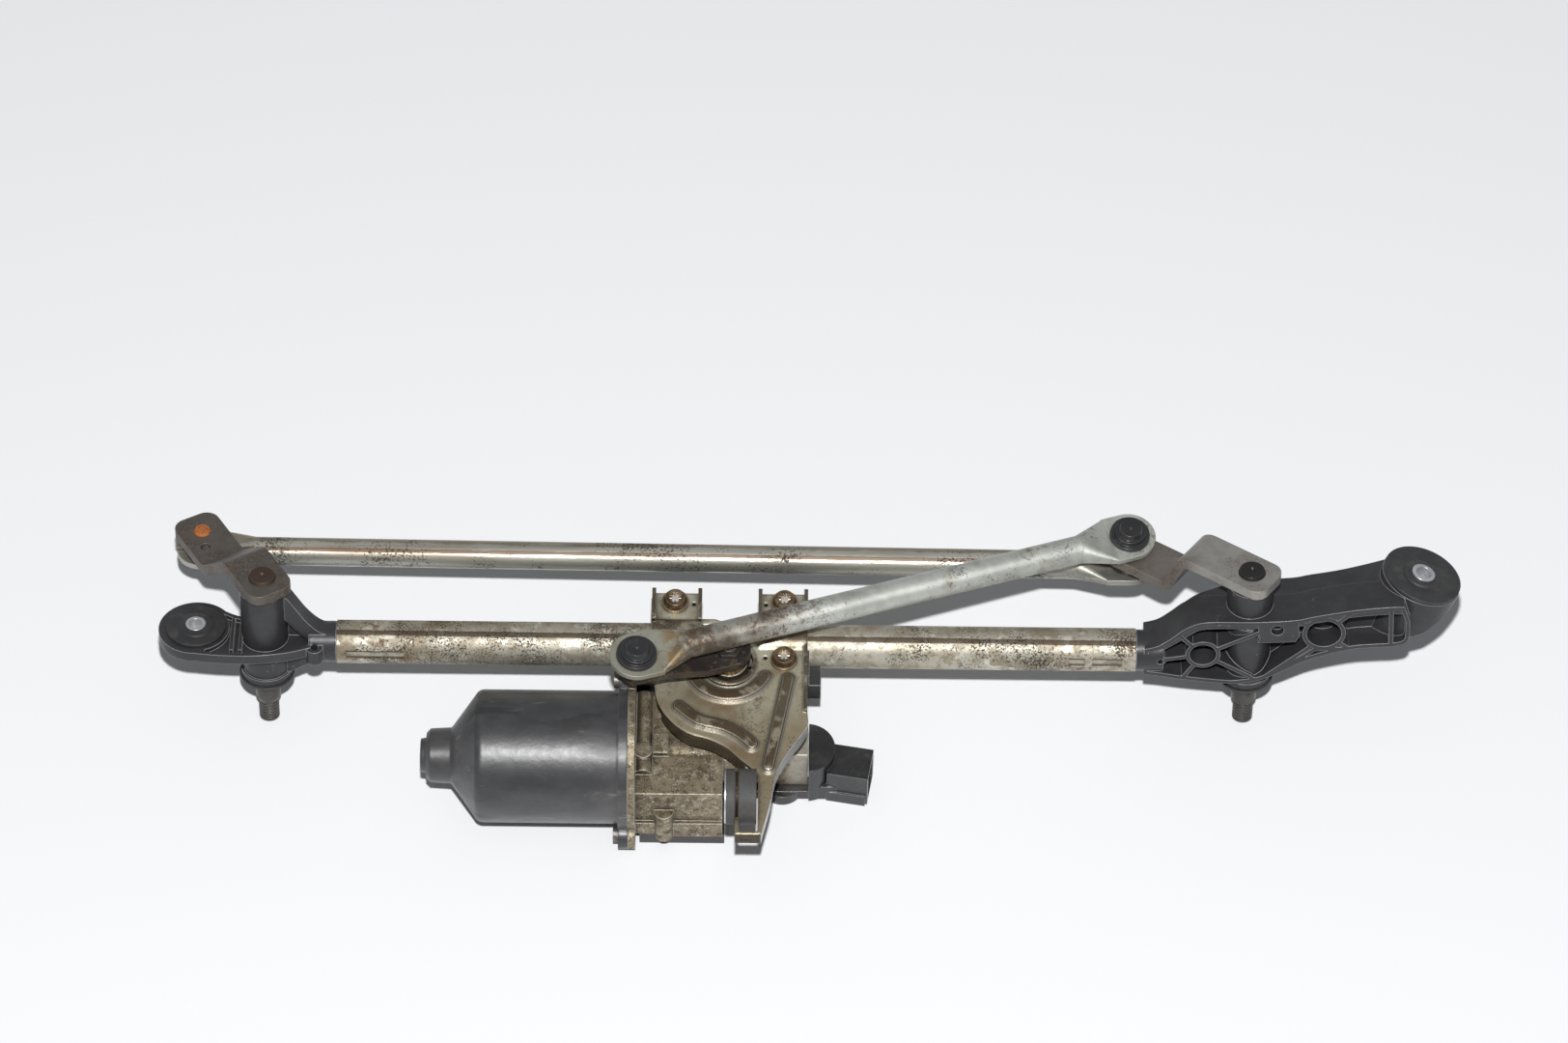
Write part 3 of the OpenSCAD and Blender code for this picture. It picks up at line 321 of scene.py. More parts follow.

# %% [markdown]
# ** Crevice** finds the shut-in corners where shade falls, and the materials paint shade there.
# The Ambient Occlusion node measures how shut in a spot is, and a little noise keeps the border
# of the painted shade from looking drawn.

# %% Group: crevice
CREVICE_WOBBLE_SCALE, CREVICE_WOBBLE = 220.0, 0.3
t, i, o = group("crevice", [
    ("Reach", "Float", 0.006), ("Low", "Float", 0.15), ("High", "Float", 0.55)],
    [("Mask", "Float")])
open_sky = t.add("ShaderNodeAmbientOcclusion", {"samples": 6}, out="AO", Distance=i["Reach"])
ragged = wobble(t, noise(t, spot(t), CREVICE_WOBBLE_SCALE, Detail=4.0), CREVICE_WOBBLE)
shut = t.math("ADD", t.math("SUBTRACT", 1.0, open_sky), ragged)
t.put(o["Mask"], t.ramp(shut, i["Low"], i["High"]))
print("group crevice")

# %% [markdown]
# ## One recipe, many materials
#
# Each surface is a base colour with a second tone, then a list of layers. A layer has a name,
# one or more masks that are multiplied, an amount, a colour and a roughness. Its name becomes
# the label of its node, so that it is easily found in the shader editor.

# %% Layers and their masks
Grain = namedtuple("Grain", "scale dents bump")
Layer = namedtuple("Layer", "what masks amount colour rough")


def mask(kind, **values):
    return kind, values


def layer(what, *masks, amount, colour, rough):
    return Layer(what, masks, amount, colour, rough)


def product(t, masks):
    total = None
    for kind, values in masks:
        one = use(t, kind, **values)["Mask"]
        total = one if total is None else t.math("MULTIPLY", total, one)
    return total


def rgba(colour):
    return (*colour, 1.0)


print("layers ready")

# %% [markdown]
# The recipe lays the layers on, adds grain and rounded corners to the normal, and feeds the
# Principled shader, which stays in the material itself. `coat` is an even lacquer. `rim` puts a
# glossier lacquer on the edges alone, for castings and mouldings whose corners glint.

# %% The recipe
TONE_CLOUDS = dict(Scale=70.0, Low=0.35, High=0.7)
GLOSS_CLOUDS = dict(Scale=260.0, Low=0.3, High=0.8)
GLOSS_SWING = 0.08
BUMP_DEPTH = 0.0004
RIM_ROUGH, COAT_ROUGH = 0.16, 0.34
FINE_GRAIN, SOFT_CORNER = Grain(scale=1500.0, dents=0.3, bump=0.15), 0.0006


def surface(name, base, tone, rough, metal, layers, grain=FINE_GRAIN, radius=SOFT_CORNER,
            coat=0.0, stretch=EVEN, rim=0.0, level=0.5):
    mat = bpy.data.materials.new(name)
    mat.use_nodes = True
    mat.node_tree.nodes.clear()
    t = Tree(mat.node_tree)
    tones = use(t, "mottle", Stretch=stretch, **TONE_CLOUDS)["Mask"]
    colour = t.mix(tones, rgba(base), rgba(tone))
    swing = use(t, "mottle", Stretch=stretch, **GLOSS_CLOUDS)["Mask"]
    shine = t.math("ADD", rough, t.math("MULTIPLY", swing, GLOSS_SWING))
    for one in layers:
        colour, shine = use(t, "coat", one.what, Mask=product(t, one.masks), Amount=one.amount,
                            Colour=colour, Rough=shine, Over_Colour=rgba(one.colour),
                            Over_Rough=one.rough)
    height = use(t, "grain", Scale=grain.scale, Dents=grain.dents, Stretch=stretch)["Height"]
    corners = use(t, "edges", Radius=radius)
    normal = t.add("ShaderNodeBump", Strength=grain.bump, Distance=BUMP_DEPTH, Height=height,
                   Normal=corners["Normal"])
    if rim:
        coat = t.math("MULTIPLY", corners["Mask"], rim)
    bsdf = t.add("ShaderNodeBsdfPrincipled", Base_Color=colour, Roughness=shine, Metallic=metal,
                 Normal=normal, Coat_Weight=coat, Coat_Roughness=RIM_ROUGH if rim else COAT_ROUGH,
                 Specular_IOR_Level=level)
    t.add("ShaderNodeOutputMaterial", Surface=bsdf)
    print("material", name, "with", len(layers), "layers")
    return mat


print("recipe ready")

# %% [markdown]
# ## Plated tubes and stampings
#
# Zinc plating goes brown where water stood, then speckles with rust. The long stains lie along
# the tubes, so the axes of the tubes are needed. They could be typed in, but the mean of the
# two ends of each mesh gives them from the shape itself.

# %% Axes of the tubes
END_LENGTH = 0.09


def axis_of(name):
    spots = np.array([nodes[name].matrix_world @ v.co for v in nodes[name].data.vertices])
    ends = []
    for side in (-1, 1):
        reach = spots[:, 0] * side
        ends.append(spots[reach > reach.max() - END_LENGTH].mean(axis=0))
    low, high = ends
    way = (high - low) / np.linalg.norm(high - low)
    return tuple(float(v) for v in (low + high) / 2), tuple(float(v) for v in way)


tube_point, tube_way = axis_of("frame_tube")
tie_point, tie_way = axis_of("tie_link")
print("tube axis", [round(v, 3) for v in tube_way], "tie axis", [round(v, 3) for v in tie_way])

# %% [markdown]
# **The frame tube** is the brownest piece: cloudy stains, patches where the plating is still
# clean, a thin dark line on top and rust that comes through in dots. The layers go from wide to
# fine, so that the specks lie on the stains and not under them. The crimps come last.

# %% Frame tube
BROWN, DARK, CORNER_SHADE = (0.13, 0.085, 0.045), (0.03, 0.022, 0.016), (0.022, 0.015, 0.01)
LEFT, RIGHT, UP, DOWN, FRONT = (-1, 0, 0), (1, 0, 0), (0, 0, 1), (0, 0, -1), (0, -1, 0)
TUBE_MIDDLE = (0.0, 0.02184, 0.052)
tube_mat = surface(
    "stained zinc tube", base=(0.49, 0.465, 0.39), tone=(0.35, 0.315, 0.24), rough=0.46, metal=0.6,
    grain=Grain(scale=1300.0, dents=0.6, bump=0.3),
    layers=[
        layer("brown clouds",
              mask("mottle", Scale=30.0, Stretch=(0.6, 1.5, 1.5), Low=0.5, High=0.68),
              amount=0.6, colour=BROWN, rough=0.6),
        layer("stains at the left end",
              mask("along", Direction=LEFT, Low=0.15, High=0.2, Ragged=0.03),
              mask("mottle", Scale=75.0, Low=0.42, High=0.6),
              amount=0.5, colour=(0.2, 0.155, 0.085), rough=0.65),
        layer("clean plating", mask("mottle", Scale=110.0, Low=0.55, High=0.63, Shift=(3, 1, 0)),
              amount=0.75, colour=(0.7, 0.68, 0.58), rough=0.4),
        layer("small stains", mask("mottle", Scale=190.0, Low=0.48, High=0.62, Shift=(6, 2, 4)),
              amount=0.6, colour=(0.25, 0.205, 0.135), rough=0.65),
        layer("dark line on top",
              mask("line", Point=tube_point, Axis=tube_way, Facing=(0.0, 0.06, 0.998), Width=0.014),
              amount=0.85, colour=(0.05, 0.028, 0.015), rough=0.55),
        layer("brown band behind",
              mask("line", Point=tube_point, Axis=tube_way, Facing=(0.0, 0.8, 0.6), Width=0.2),
              amount=0.2, colour=(0.3, 0.25, 0.17), rough=0.55),
        layer("black specks", mask("specks", Scale=1000.0, Amount=0.47, Gather=40.0),
              amount=0.85, colour=DARK, rough=0.8),
        layer("rust spots", mask("specks", Scale=300.0, Amount=0.34, Gather=25.0),
              amount=0.7, colour=(0.15, 0.07, 0.028), rough=0.85),
        # painted shade: a dark colour along the rims of the crimps
        layer("painted shade in the crimps", mask("sunk", Point=TUBE_MIDDLE, Depth=0.00006),
              amount=0.85, colour=(0.05, 0.036, 0.022), rough=0.6),
        layer("bright crimp floors",
              mask("sunk", Point=TUBE_MIDDLE, Depth=0.0005),
              mask("mottle", Scale=150.0, Low=0.25, High=0.6),
              amount=0.85, colour=(0.5, 0.47, 0.38), rough=0.4)])

# %% [markdown]
# **The drive link** is greyer. Old grease from the crank's ball has crept along its left neck
# and turned black, and it is amber where it is thin. Two `along` masks with opposite directions
# fence in that stretch, and a third mask breaks it up.

# %% Drive link
NECK = dict(Direction=RIGHT, Low=-0.07, High=-0.058, Ragged=0.012)
drive_mat = surface(
    "speckled zinc link", base=(0.55, 0.56, 0.52), tone=(0.4, 0.41, 0.37), rough=0.44, metal=0.6,
    grain=Grain(scale=1400.0, dents=0.5, bump=0.2),
    layers=[
        layer("grey-brown clouds", mask("mottle", Scale=60.0, Low=0.52, High=0.7),
              amount=0.5, colour=(0.26, 0.24, 0.18), rough=0.55),
        layer("dull eye", mask("along", Direction=LEFT, Low=0.058, High=0.07, Ragged=0.01),
              amount=0.6, colour=(0.22, 0.2, 0.125), rough=0.5),
        layer("amber grease beside the eye",
              mask("along", Direction=RIGHT, Low=-0.076, High=-0.068, Ragged=0.012),
              mask("along", Direction=LEFT, Low=0.046, High=0.056, Ragged=0.015),
              mask("mottle", Scale=130.0, Low=0.42, High=0.58),
              amount=0.8, colour=(0.27, 0.17, 0.055), rough=0.4),
        layer("brown neck",
              mask("along", **NECK),
              mask("along", Direction=LEFT, Low=-0.01, High=0.03, Ragged=0.06),
              amount=0.55, colour=(0.2, 0.165, 0.115), rough=0.5),
        layer("black grime on the neck",
              mask("along", **NECK),
              mask("along", Direction=LEFT, Low=-0.002, High=0.03, Ragged=0.05),
              mask("mottle", Scale=70.0, Low=0.36, High=0.6, Shift=(4, 2, 1)),
              amount=0.8, colour=(0.05, 0.033, 0.02), rough=0.42),
        layer("specks past the grime",
              mask("along", **NECK),
              mask("along", Direction=LEFT, Low=-0.03, High=0.02, Ragged=0.03),
              mask("specks", Scale=520.0, Amount=0.62, Gather=60.0),
              amount=0.8, colour=(0.1, 0.055, 0.026), rough=0.6),
        layer("black specks", mask("specks", Scale=700.0, Amount=0.34, Gather=55.0),
              amount=0.6, colour=DARK, rough=0.8),
        layer("rust spots", mask("specks", Scale=280.0, Amount=0.32, Gather=30.0),
              amount=0.6, colour=(0.12, 0.07, 0.035), rough=0.85),
        # painted shade: a dark colour wherever the Ambient Occlusion node finds the link shut in
        layer("painted shade in corners", mask("crevice", Reach=0.004, Low=0.3, High=0.7),
              amount=0.7, colour=CORNER_SHADE, rough=0.7)])

# %% [markdown]
# **The tie link** has streaks along its length, where water ran and stood. The space of its
# clouds is squeezed along X, and three lines give it a brown back, a rusty top and a grey
# front.

# %% Tie link
tie_mat = surface(
    "streaked zinc link", base=(0.6, 0.585, 0.51), tone=(0.46, 0.43, 0.35), rough=0.3, metal=0.8,
    grain=Grain(scale=1400.0, dents=0.4, bump=0.2), stretch=(0.2, 1, 1),
    layers=[
        layer("brown band behind",
              mask("line", Point=tie_point, Axis=tie_way, Facing=(0.0, 0.78, 0.62), Width=0.28),
              amount=0.6, colour=(0.2, 0.15, 0.085), rough=0.5),
        layer("long stains",
              mask("mottle", Scale=70.0, Stretch=(0.05, 1.5, 1.5), Low=0.52, High=0.66),
              amount=0.6, colour=BROWN, rough=0.5),
        layer("rust line on top",
              mask("line", Point=tie_point, Axis=tie_way, Facing=(0.0, -0.3, 0.954), Width=0.012),
              amount=0.8, colour=(0.1, 0.05, 0.025), rough=0.6),
        layer("grey front side",
              mask("line", Point=tie_point, Axis=tie_way, Facing=(0.0, -0.93, 0.36), Width=0.12),
              amount=0.5, colour=(0.26, 0.27, 0.25), rough=0.5),
        layer("black specks", mask("specks", Scale=800.0, Amount=0.44, Gather=45.0),
              amount=0.8, colour=DARK, rough=0.8)])

# %% [markdown]
# ** The motor bracket** is pressed from plate and has turned olive, with painted shade darkening
# its hollows and its left sides. The tops of its beads are dark, and their crowns carry a painted
# highlight in places. Height above the table tells bead from plate, so no part of the mesh has
# to be picked by hand.

# %% Motor bracket
BEAD_FOOT, BEAD_SIDE, CROWN_SIDE, CROWN_TOP = 0.0627, 0.0634, 0.0637, 0.0641
bracket_mat = surface(
    "olive zinc bracket", base=(0.6, 0.575, 0.45), tone=(0.47, 0.42, 0.29), rough=0.32, metal=0.6,
    grain=Grain(scale=1300.0, dents=0.7, bump=0.25), radius=0.0024,
    layers=[
        layer("brown clouds", mask("mottle", Scale=40.0, Low=0.46, High=0.68),
              amount=0.7, colour=(0.2, 0.14, 0.075), rough=0.4),
        layer("browner towards the tip",
              mask("along", Direction=FRONT, Low=-0.02, High=0.06, Ragged=0.03),
              amount=0.68, colour=(0.2, 0.132, 0.06), rough=0.3),
        layer("dark beads", mask("along", Direction=UP, Low=BEAD_FOOT, High=BEAD_SIDE),
              amount=0.8, colour=(0.06, 0.034, 0.016), rough=0.26),
        # painted highlight: a pale glossy colour on the crowns of the beads
        layer("painted highlight on crowns",
              mask("along", Direction=UP, Low=CROWN_SIDE, High=CROWN_TOP),
              mask("mottle", Scale=95.0, Low=0.5, High=0.64, Shift=(1, 2, 3)),
              amount=0.55, colour=(0.6, 0.53, 0.4), rough=0.2),
        layer("grey right sides", mask("facing", Direction=RIGHT, Low=0.45, High=0.7),
              amount=0.85, colour=(0.5, 0.51, 0.5), rough=0.35),
        # painted shade: a near black colour on the sides that face left and forward
        layer("painted shade on left sides", mask("facing", Direction=(-0.6, -0.8, 0), Low=0.4, High=0.7),
              amount=0.9, colour=(0.035, 0.022, 0.012), rough=0.45),
        # painted shade: a dark colour in the bracket's shut-in corners
        layer("painted shade in corners", mask("crevice", Reach=0.008, Low=0.2, High=0.6),
              amount=0.75, colour=CORNER_SHADE, rough=0.6),
        layer("black specks", mask("specks", Scale=700.0, Amount=0.36, Gather=60.0),
              amount=0.6, colour=DARK, rough=0.8),
        layer("bright edges", mask("edges", Radius=0.0007),
              amount=0.5, colour=(0.74, 0.72, 0.64), rough=0.28)])

# %% [markdown]
# ** The bracket bolts** are brown and stained. The floor of the recess in each head carries a
# painted highlight. It is the only face that looks up between two heights, and so it is found.

# %% Bracket bolts
FLANGE_SIDE, FLANGE_TOP = 0.0635, 0.0645
RECESS_FLOOR, RECESS_SIDE, HEAD_TOP = 0.0648, 0.066, 0.0665
bolt_mat = surface(
    "browned bolt", base=(0.27, 0.2, 0.125), tone=(0.14, 0.09, 0.045), rough=0.34, metal=0.7,
    grain=Grain(scale=1800.0, dents=0.3, bump=0.15), radius=0.0004,
    layers=[
        layer("black stains", mask("mottle", Scale=260.0, Low=0.42, High=0.6),
              amount=0.85, colour=(0.06, 0.032, 0.016), rough=0.55),
        layer("paler flange", mask("along", Direction=DOWN, Low=-FLANGE_TOP, High=-FLANGE_SIDE),
              amount=0.5, colour=(0.3, 0.22, 0.13), rough=0.4),
        layer("bright edges", mask("edges", Radius=0.0006),
              amount=0.6, colour=(0.6, 0.5, 0.36), rough=0.3),
        # painted highlight: a near white colour on the floor of each recess
        layer("painted highlight on recess floor",
              mask("facing", Direction=UP, Low=0.8, High=0.95),
              mask("along", Direction=UP, Low=FLANGE_TOP, High=RECESS_FLOOR),
              mask("along", Direction=DOWN, Low=-HEAD_TOP, High=-RECESS_SIDE),
              amount=0.95, colour=(0.92, 0.9, 0.86), rough=0.3)])

# %% [markdown]
# ## Bare and rusty steel
#
# **The levers** are bent steel straps. The left one has browned all over, the right one is
# still grey with a brown end at the link, and **the rivet** on the left one is bright rust.
# Each is a material of its own, because the three weathered so differently.

# %% Levers and rivet
lever_left = surface(
    "browned lever", base=(0.14, 0.125, 0.11), tone=(0.085, 0.07, 0.06), rough=0.48, metal=0.6,
    grain=Grain(scale=1300.0, dents=0.6, bump=0.3),
    layers=[
        layer("rust clouds", mask("mottle", Scale=90.0, Low=0.55, High=0.75),
              amount=0.7, colour=(0.17, 0.085, 0.04), rough=0.75),
        layer("pale specks", mask("specks", Scale=800.0, Amount=0.5, Gather=70.0),
              amount=0.6, colour=(0.2, 0.17, 0.14), rough=0.6),
        layer("worn edges", mask("edges", Radius=0.0008),
              amount=0.45, colour=(0.3, 0.28, 0.25), rough=0.4)])
lever_right = surface(
    "grey lever", base=(0.38, 0.365, 0.34), tone=(0.28, 0.26, 0.24), rough=0.45, metal=0.65,
    grain=Grain(scale=1300.0, dents=0.5, bump=0.25),
    layers=[
        layer("brown clouds", mask("mottle", Scale=110.0, Low=0.56, High=0.74),
              amount=0.5, colour=(0.12, 0.095, 0.075), rough=0.6),
        layer("brown end at the link",
              mask("along", Direction=LEFT, Low=-0.2, High=-0.186, Ragged=0.01),
              amount=0.6, colour=(0.13, 0.1, 0.072), rough=0.5),
        layer("rust specks", mask("specks", Scale=900.0, Amount=0.4, Gather=70.0),
              amount=0.6, colour=(0.08, 0.05, 0.03), rough=0.7),
        layer("worn edges", mask("edges", Radius=0.0008),
              amount=0.5, colour=(0.42, 0.4, 0.37), rough=0.35)])
rust_mat = surface(
    "rusty rivet", base=(0.4, 0.13, 0.035), tone=(0.26, 0.07, 0.02), rough=0.85, metal=0.0,
    grain=Grain(scale=1600.0, dents=0.8, bump=0.6),
    layers=[
        layer("dark pits", mask("specks", Scale=900.0, Amount=0.5, Gather=150.0),
              amount=0.8, colour=(0.08, 0.03, 0.012), rough=0.9)])

# %% [markdown]
# **Turned steel** is what the spindles, studs, screws and shafts are made of. They share their
# stains and bright edges. The spindles are darker, and their heads differ: the left one is
# rusty and the right one nearly black, so the head is the one layer that is handed in.

# %% Turned steel
TURNED_GRAIN, TURNED_CORNER = Grain(scale=1700.0, dents=0.3, bump=0.2), 0.0002
HEAD_FOOT, HEAD_FACE = 0.086, 0.089
turned_stains = layer("brown clouds", mask("mottle", Scale=160.0, Low=0.52, High=0.7),
                      amount=0.7, colour=(0.07, 0.05, 0.035), rough=0.65)


def turned_edges(amount):
    return layer("bright edges", mask("edges", Radius=0.0003),
                 amount=amount, colour=(0.4, 0.38, 0.35), rough=0.3)


steel_mat = surface(
    "dull steel", base=(0.2, 0.19, 0.175), tone=(0.12, 0.11, 0.1), rough=0.42, metal=0.8,
    layers=[turned_stains, turned_edges(0.5)], grain=TURNED_GRAIN, radius=TURNED_CORNER)


def spindle(name, head, edge_amount):
    return surface(
        name, base=(0.09, 0.086, 0.08), tone=(0.055, 0.052, 0.047), rough=0.33, metal=0.7,
        layers=[turned_stains, head, turned_edges(edge_amount)],
        grain=TURNED_GRAIN, radius=TURNED_CORNER)


spindle_left = spindle("spindle with a rusty head", layer(
    "rusty head", mask("along", Direction=UP, Low=HEAD_FOOT, High=HEAD_FACE),
    mask("mottle", Scale=260.0, Low=0.3, High=0.55),
    amount=0.7, colour=(0.09, 0.048, 0.026), rough=0.6), edge_amount=0.5)
spindle_right = spindle("spindle with a dark head", layer(
    "dark head", mask("along", Direction=UP, Low=HEAD_FOOT, High=HEAD_FACE),
    amount=0.9, colour=(0.035, 0.033, 0.032), rough=0.35), edge_amount=0.4)

# %% [markdown]
# **The sleeves** in the rubber mounts are the brightest metal on the object. The bolts kept
# them clean, so one thin cloud is all they need.

# %% Mount sleeves
sleeve_mat = surface(
    "bright sleeve", base=(0.72, 0.73, 0.74), tone=(0.55, 0.56, 0.57), rough=0.3, metal=0.75,
    grain=Grain(scale=1500.0, dents=0.2, bump=0.1),
    layers=[
        layer("dull clouds", mask("mottle", Scale=300.0, Low=0.58, High=0.75),
              amount=0.5, colour=(0.2, 0.19, 0.18), rough=0.6)])

# %% [markdown]
# ## Black surfaces
#
# Nothing here is truly black. **The castings** are satin and a little dusty, with bright rib
# edges and painted shade in their corners. A lighter base colour would make them grey all over,
# so the light comes from the edges: a paler, glossier layer that is a painted highlight, and a
# lacquer on the rims.

# %% Castings
DUST = (0.16, 0.15, 0.14)
casting_mat = surface(
    "black casting", base=(0.031, 0.031, 0.033), tone=(0.041, 0.041, 0.043), rough=0.33, metal=0.0,
    grain=Grain(scale=800.0, dents=0.5, bump=0.08), radius=0.0013, rim=1.0, level=0.3,
    layers=[
        layer("dust", mask("mottle", Scale=80.0, Low=0.55, High=0.8),
              amount=0.1, colour=DUST, rough=0.6),
        layer("pale specks", mask("specks", Scale=500.0, Amount=0.14, Gather=60.0),
              amount=0.35, colour=(0.3, 0.29, 0.27), rough=0.7),
        # painted shade: a near black colour in the castings' shut-in corners
        layer("painted shade in the corners", mask("crevice", Reach=0.006, Low=0.35, High=0.8),
              amount=0.5, colour=(0.006, 0.006, 0.006), rough=0.6),
        # painted highlight: a pale glossy colour on the rib edges of the castings
        layer("bright edges", mask("edges", Radius=0.0005),
              amount=0.75, colour=(0.62, 0.62, 0.63), rough=0.14)])

# %% [markdown]
# **The motor can** is a deep-drawn steel cup with black paint. Handling left a grey haze, dark
# smears and a few pale scuffs, all stretched along the can. Shallow dents in the bump make its
# highlight uneven.

# %% Motor can
can_mat = surface(
    "black can paint", base=(0.032, 0.032, 0.034), tone=(0.046, 0.046, 0.048),
    rough=0.36, metal=0.0,
    grain=Grain(scale=600.0, dents=2.6, bump=0.2), radius=0.0015, coat=0.3,
    layers=[
        layer("grey haze", mask("mottle", Scale=50.0, Stretch=(0.5, 1, 1), Low=0.5, High=0.75),
              amount=0.3, colour=(0.12, 0.115, 0.11), rough=0.5),
        layer("dark smears",
              mask("mottle", Scale=45.0, Stretch=(0.35, 1, 1), Low=0.52, High=0.68,
                   Shift=(2, 3, 1)),
              amount=0.7, colour=(0.008, 0.008, 0.008), rough=0.62),
        layer("pale scuffs",
              mask("mottle", Scale=160.0, Stretch=(0.25, 1, 1), Low=0.62, High=0.72,
                   Shift=(5, 1, 2)),
              amount=0.3, colour=(0.34, 0.31, 0.28), rough=0.5),
        layer("worn edges", mask("edges", Radius=0.001),
              amount=0.2, colour=(0.25, 0.22, 0.2), rough=0.4)])

# %% [markdown]
# **The rubber** of the mounts and seals is matt with dust in its pores. The grommet at the
# bracket's tip is greyer and duller than the rest, so it has its own material.

# %% Rubber
rubber_mat = surface(
    "dusty rubber", base=(0.026, 0.026, 0.027), tone=(0.04, 0.04, 0.04), rough=0.45, metal=0.0,
    grain=Grain(scale=1500.0, dents=0.4, bump=0.2), radius=0.001,
    layers=[
        layer("dust", mask("mottle", Scale=140.0, Low=0.5, High=0.8),
              amount=0.25, colour=DUST, rough=0.85)])
grommet_mat = surface(
    "grey rubber", base=(0.07, 0.068, 0.066), tone=(0.045, 0.044, 0.043), rough=0.62, metal=0.0,
    grain=Grain(scale=1500.0, dents=0.4, bump=0.25), radius=0.001,
    layers=[
        layer("dust", mask("mottle", Scale=140.0, Low=0.5, High=0.8),
              amount=0.35, colour=(0.16, 0.14, 0.12), rough=0.85)])

# %% [markdown]
# **The plastic** of the gear cover and ball sockets is smoother than rubber and glints along
# its edges. **The crank** is steel, but so grimy that it reads as black, and only a little
# metal is left in it.

# %% Plastic and crank
plastic_mat = surface(
    "black plastic", base=(0.016, 0.016, 0.017), tone=(0.024, 0.024, 0.025), rough=0.26, metal=0.0,
    grain=Grain(scale=1200.0, dents=0.3, bump=0.1), radius=0.0009, rim=1.0,
    layers=[
        layer("dust", mask("mottle", Scale=110.0, Low=0.55, High=0.8),
              amount=0.2, colour=DUST, rough=0.75),
        layer("pale edges", mask("edges", Radius=0.0007),
              amount=0.1, colour=(0.3, 0.3, 0.3), rough=0.35)])
crank_mat = surface(
    "grimy crank", base=(0.024, 0.021, 0.019), tone=(0.038, 0.031, 0.025), rough=0.34, metal=0.2,
    grain=Grain(scale=1000.0, dents=0.8, bump=0.35),
    layers=[
        layer("brown clouds", mask("mottle", Scale=90.0, Low=0.5, High=0.7),
              amount=0.6, colour=(0.09, 0.055, 0.03), rough=0.6),
        layer("pale specks", mask("specks", Scale=500.0, Amount=0.45, Gather=60.0),
              amount=0.6, colour=(0.16, 0.12, 0.08), rough=0.6)])

# %% [markdown]
# ## Cast alloy, brass and the hidden pieces
#
# ** The gear housing** is cast alloy under years of oily dirt, olive-brown with fine dark and
# bright specks. Its skin is rough enough to see, so the bump is stronger here than anywhere
# else, and painted shade darkens the corners.

# %% Gear housing
alloy_mat = surface(
    "grimy cast alloy", base=(0.28, 0.235, 0.158), tone=(0.185, 0.148, 0.092),
    rough=0.43, metal=0.55,
    grain=Grain(scale=700.0, dents=0.9, bump=0.8), radius=0.0014,
    layers=[
        layer("brown clouds", mask("mottle", Scale=40.0, Low=0.46, High=0.7),
              amount=0.6, colour=(0.12, 0.085, 0.048), rough=0.6),
        layer("dark specks", mask("specks", Scale=1300.0, Amount=0.6, Gather=240.0),
              amount=0.75, colour=(0.05, 0.036, 0.022), rough=0.8),
        layer("bright specks", mask("specks", Scale=1500.0, Amount=0.46, Gather=300.0),
              amount=0.6, colour=(0.62, 0.58, 0.48), rough=0.36),
        # painted shade: a near black colour in the housing's shut-in corners
        layer("painted shade in corners", mask("crevice", Reach=0.007, Low=0.16, High=0.55),
              amount=0.88, colour=(0.026, 0.018, 0.011), rough=0.7),
        layer("paler right end", mask("along", Direction=RIGHT, Low=-0.012, High=-0.006),
              amount=0.5, colour=(0.5, 0.48, 0.43), rough=0.45),
        layer("bright edges", mask("edges", Radius=0.0011),
              amount=0.7, colour=(0.64, 0.59, 0.5), rough=0.34)])

# %% [markdown]
# **The thrust washer, bushes and pins** are dull brass. **The windings, magnets and worm
# wheel** are inside the motor and show only when it is taken apart. They get plain finishes of
# the right kind, with one cloud of tarnish, dirt or grease each.

# %% Brass and the hidden pieces
brass_mat = surface(
    "dull brass", base=(0.6, 0.42, 0.16), tone=(0.42, 0.28, 0.1), rough=0.35, metal=0.9,
    grain=Grain(scale=1500.0, dents=0.3, bump=0.15),
    layers=[
        layer("tarnish", mask("mottle", Scale=240.0, Low=0.5, High=0.7),
              amount=0.6, colour=(0.1, 0.06, 0.03), rough=0.6)])
copper_mat = surface(
    "enamelled copper", base=(0.45, 0.16, 0.06), tone=(0.3, 0.1, 0.04), rough=0.35, metal=0.8,
    grain=Grain(scale=1500.0, dents=0.3, bump=0.3),
    layers=[
        layer("burnt enamel", mask("mottle", Scale=200.0, Low=0.5, High=0.7),
              amount=0.4, colour=(0.1, 0.04, 0.02), rough=0.6)])
iron_mat = surface(
    "dark iron", base=(0.09, 0.085, 0.08), tone=(0.06, 0.055, 0.05), rough=0.6, metal=0.5,
    grain=Grain(scale=1500.0, dents=0.5, bump=0.3),
    layers=[
        layer("dark clouds", mask("mottle", Scale=200.0, Low=0.5, High=0.7),
              amount=0.4, colour=(0.03, 0.025, 0.02), rough=0.8)])
gear_mat = surface(
    "natural gear plastic", base=(0.62, 0.59, 0.5), tone=(0.5, 0.46, 0.37), rough=0.4, metal=0.0,
    grain=Grain(scale=1500.0, dents=0.3, bump=0.1),
    layers=[
        layer("grease", mask("mottle", Scale=120.0, Low=0.55, High=0.75),
              amount=0.6, colour=(0.2, 0.13, 0.05), rough=0.3)])

# %% [markdown]
# ## Dressing the frame
#
# Every node takes one material. The table lists the nodes by material, which is shorter than a
# list by node and shows at once what shares a finish. The last line tells whether a node is
# left bare.

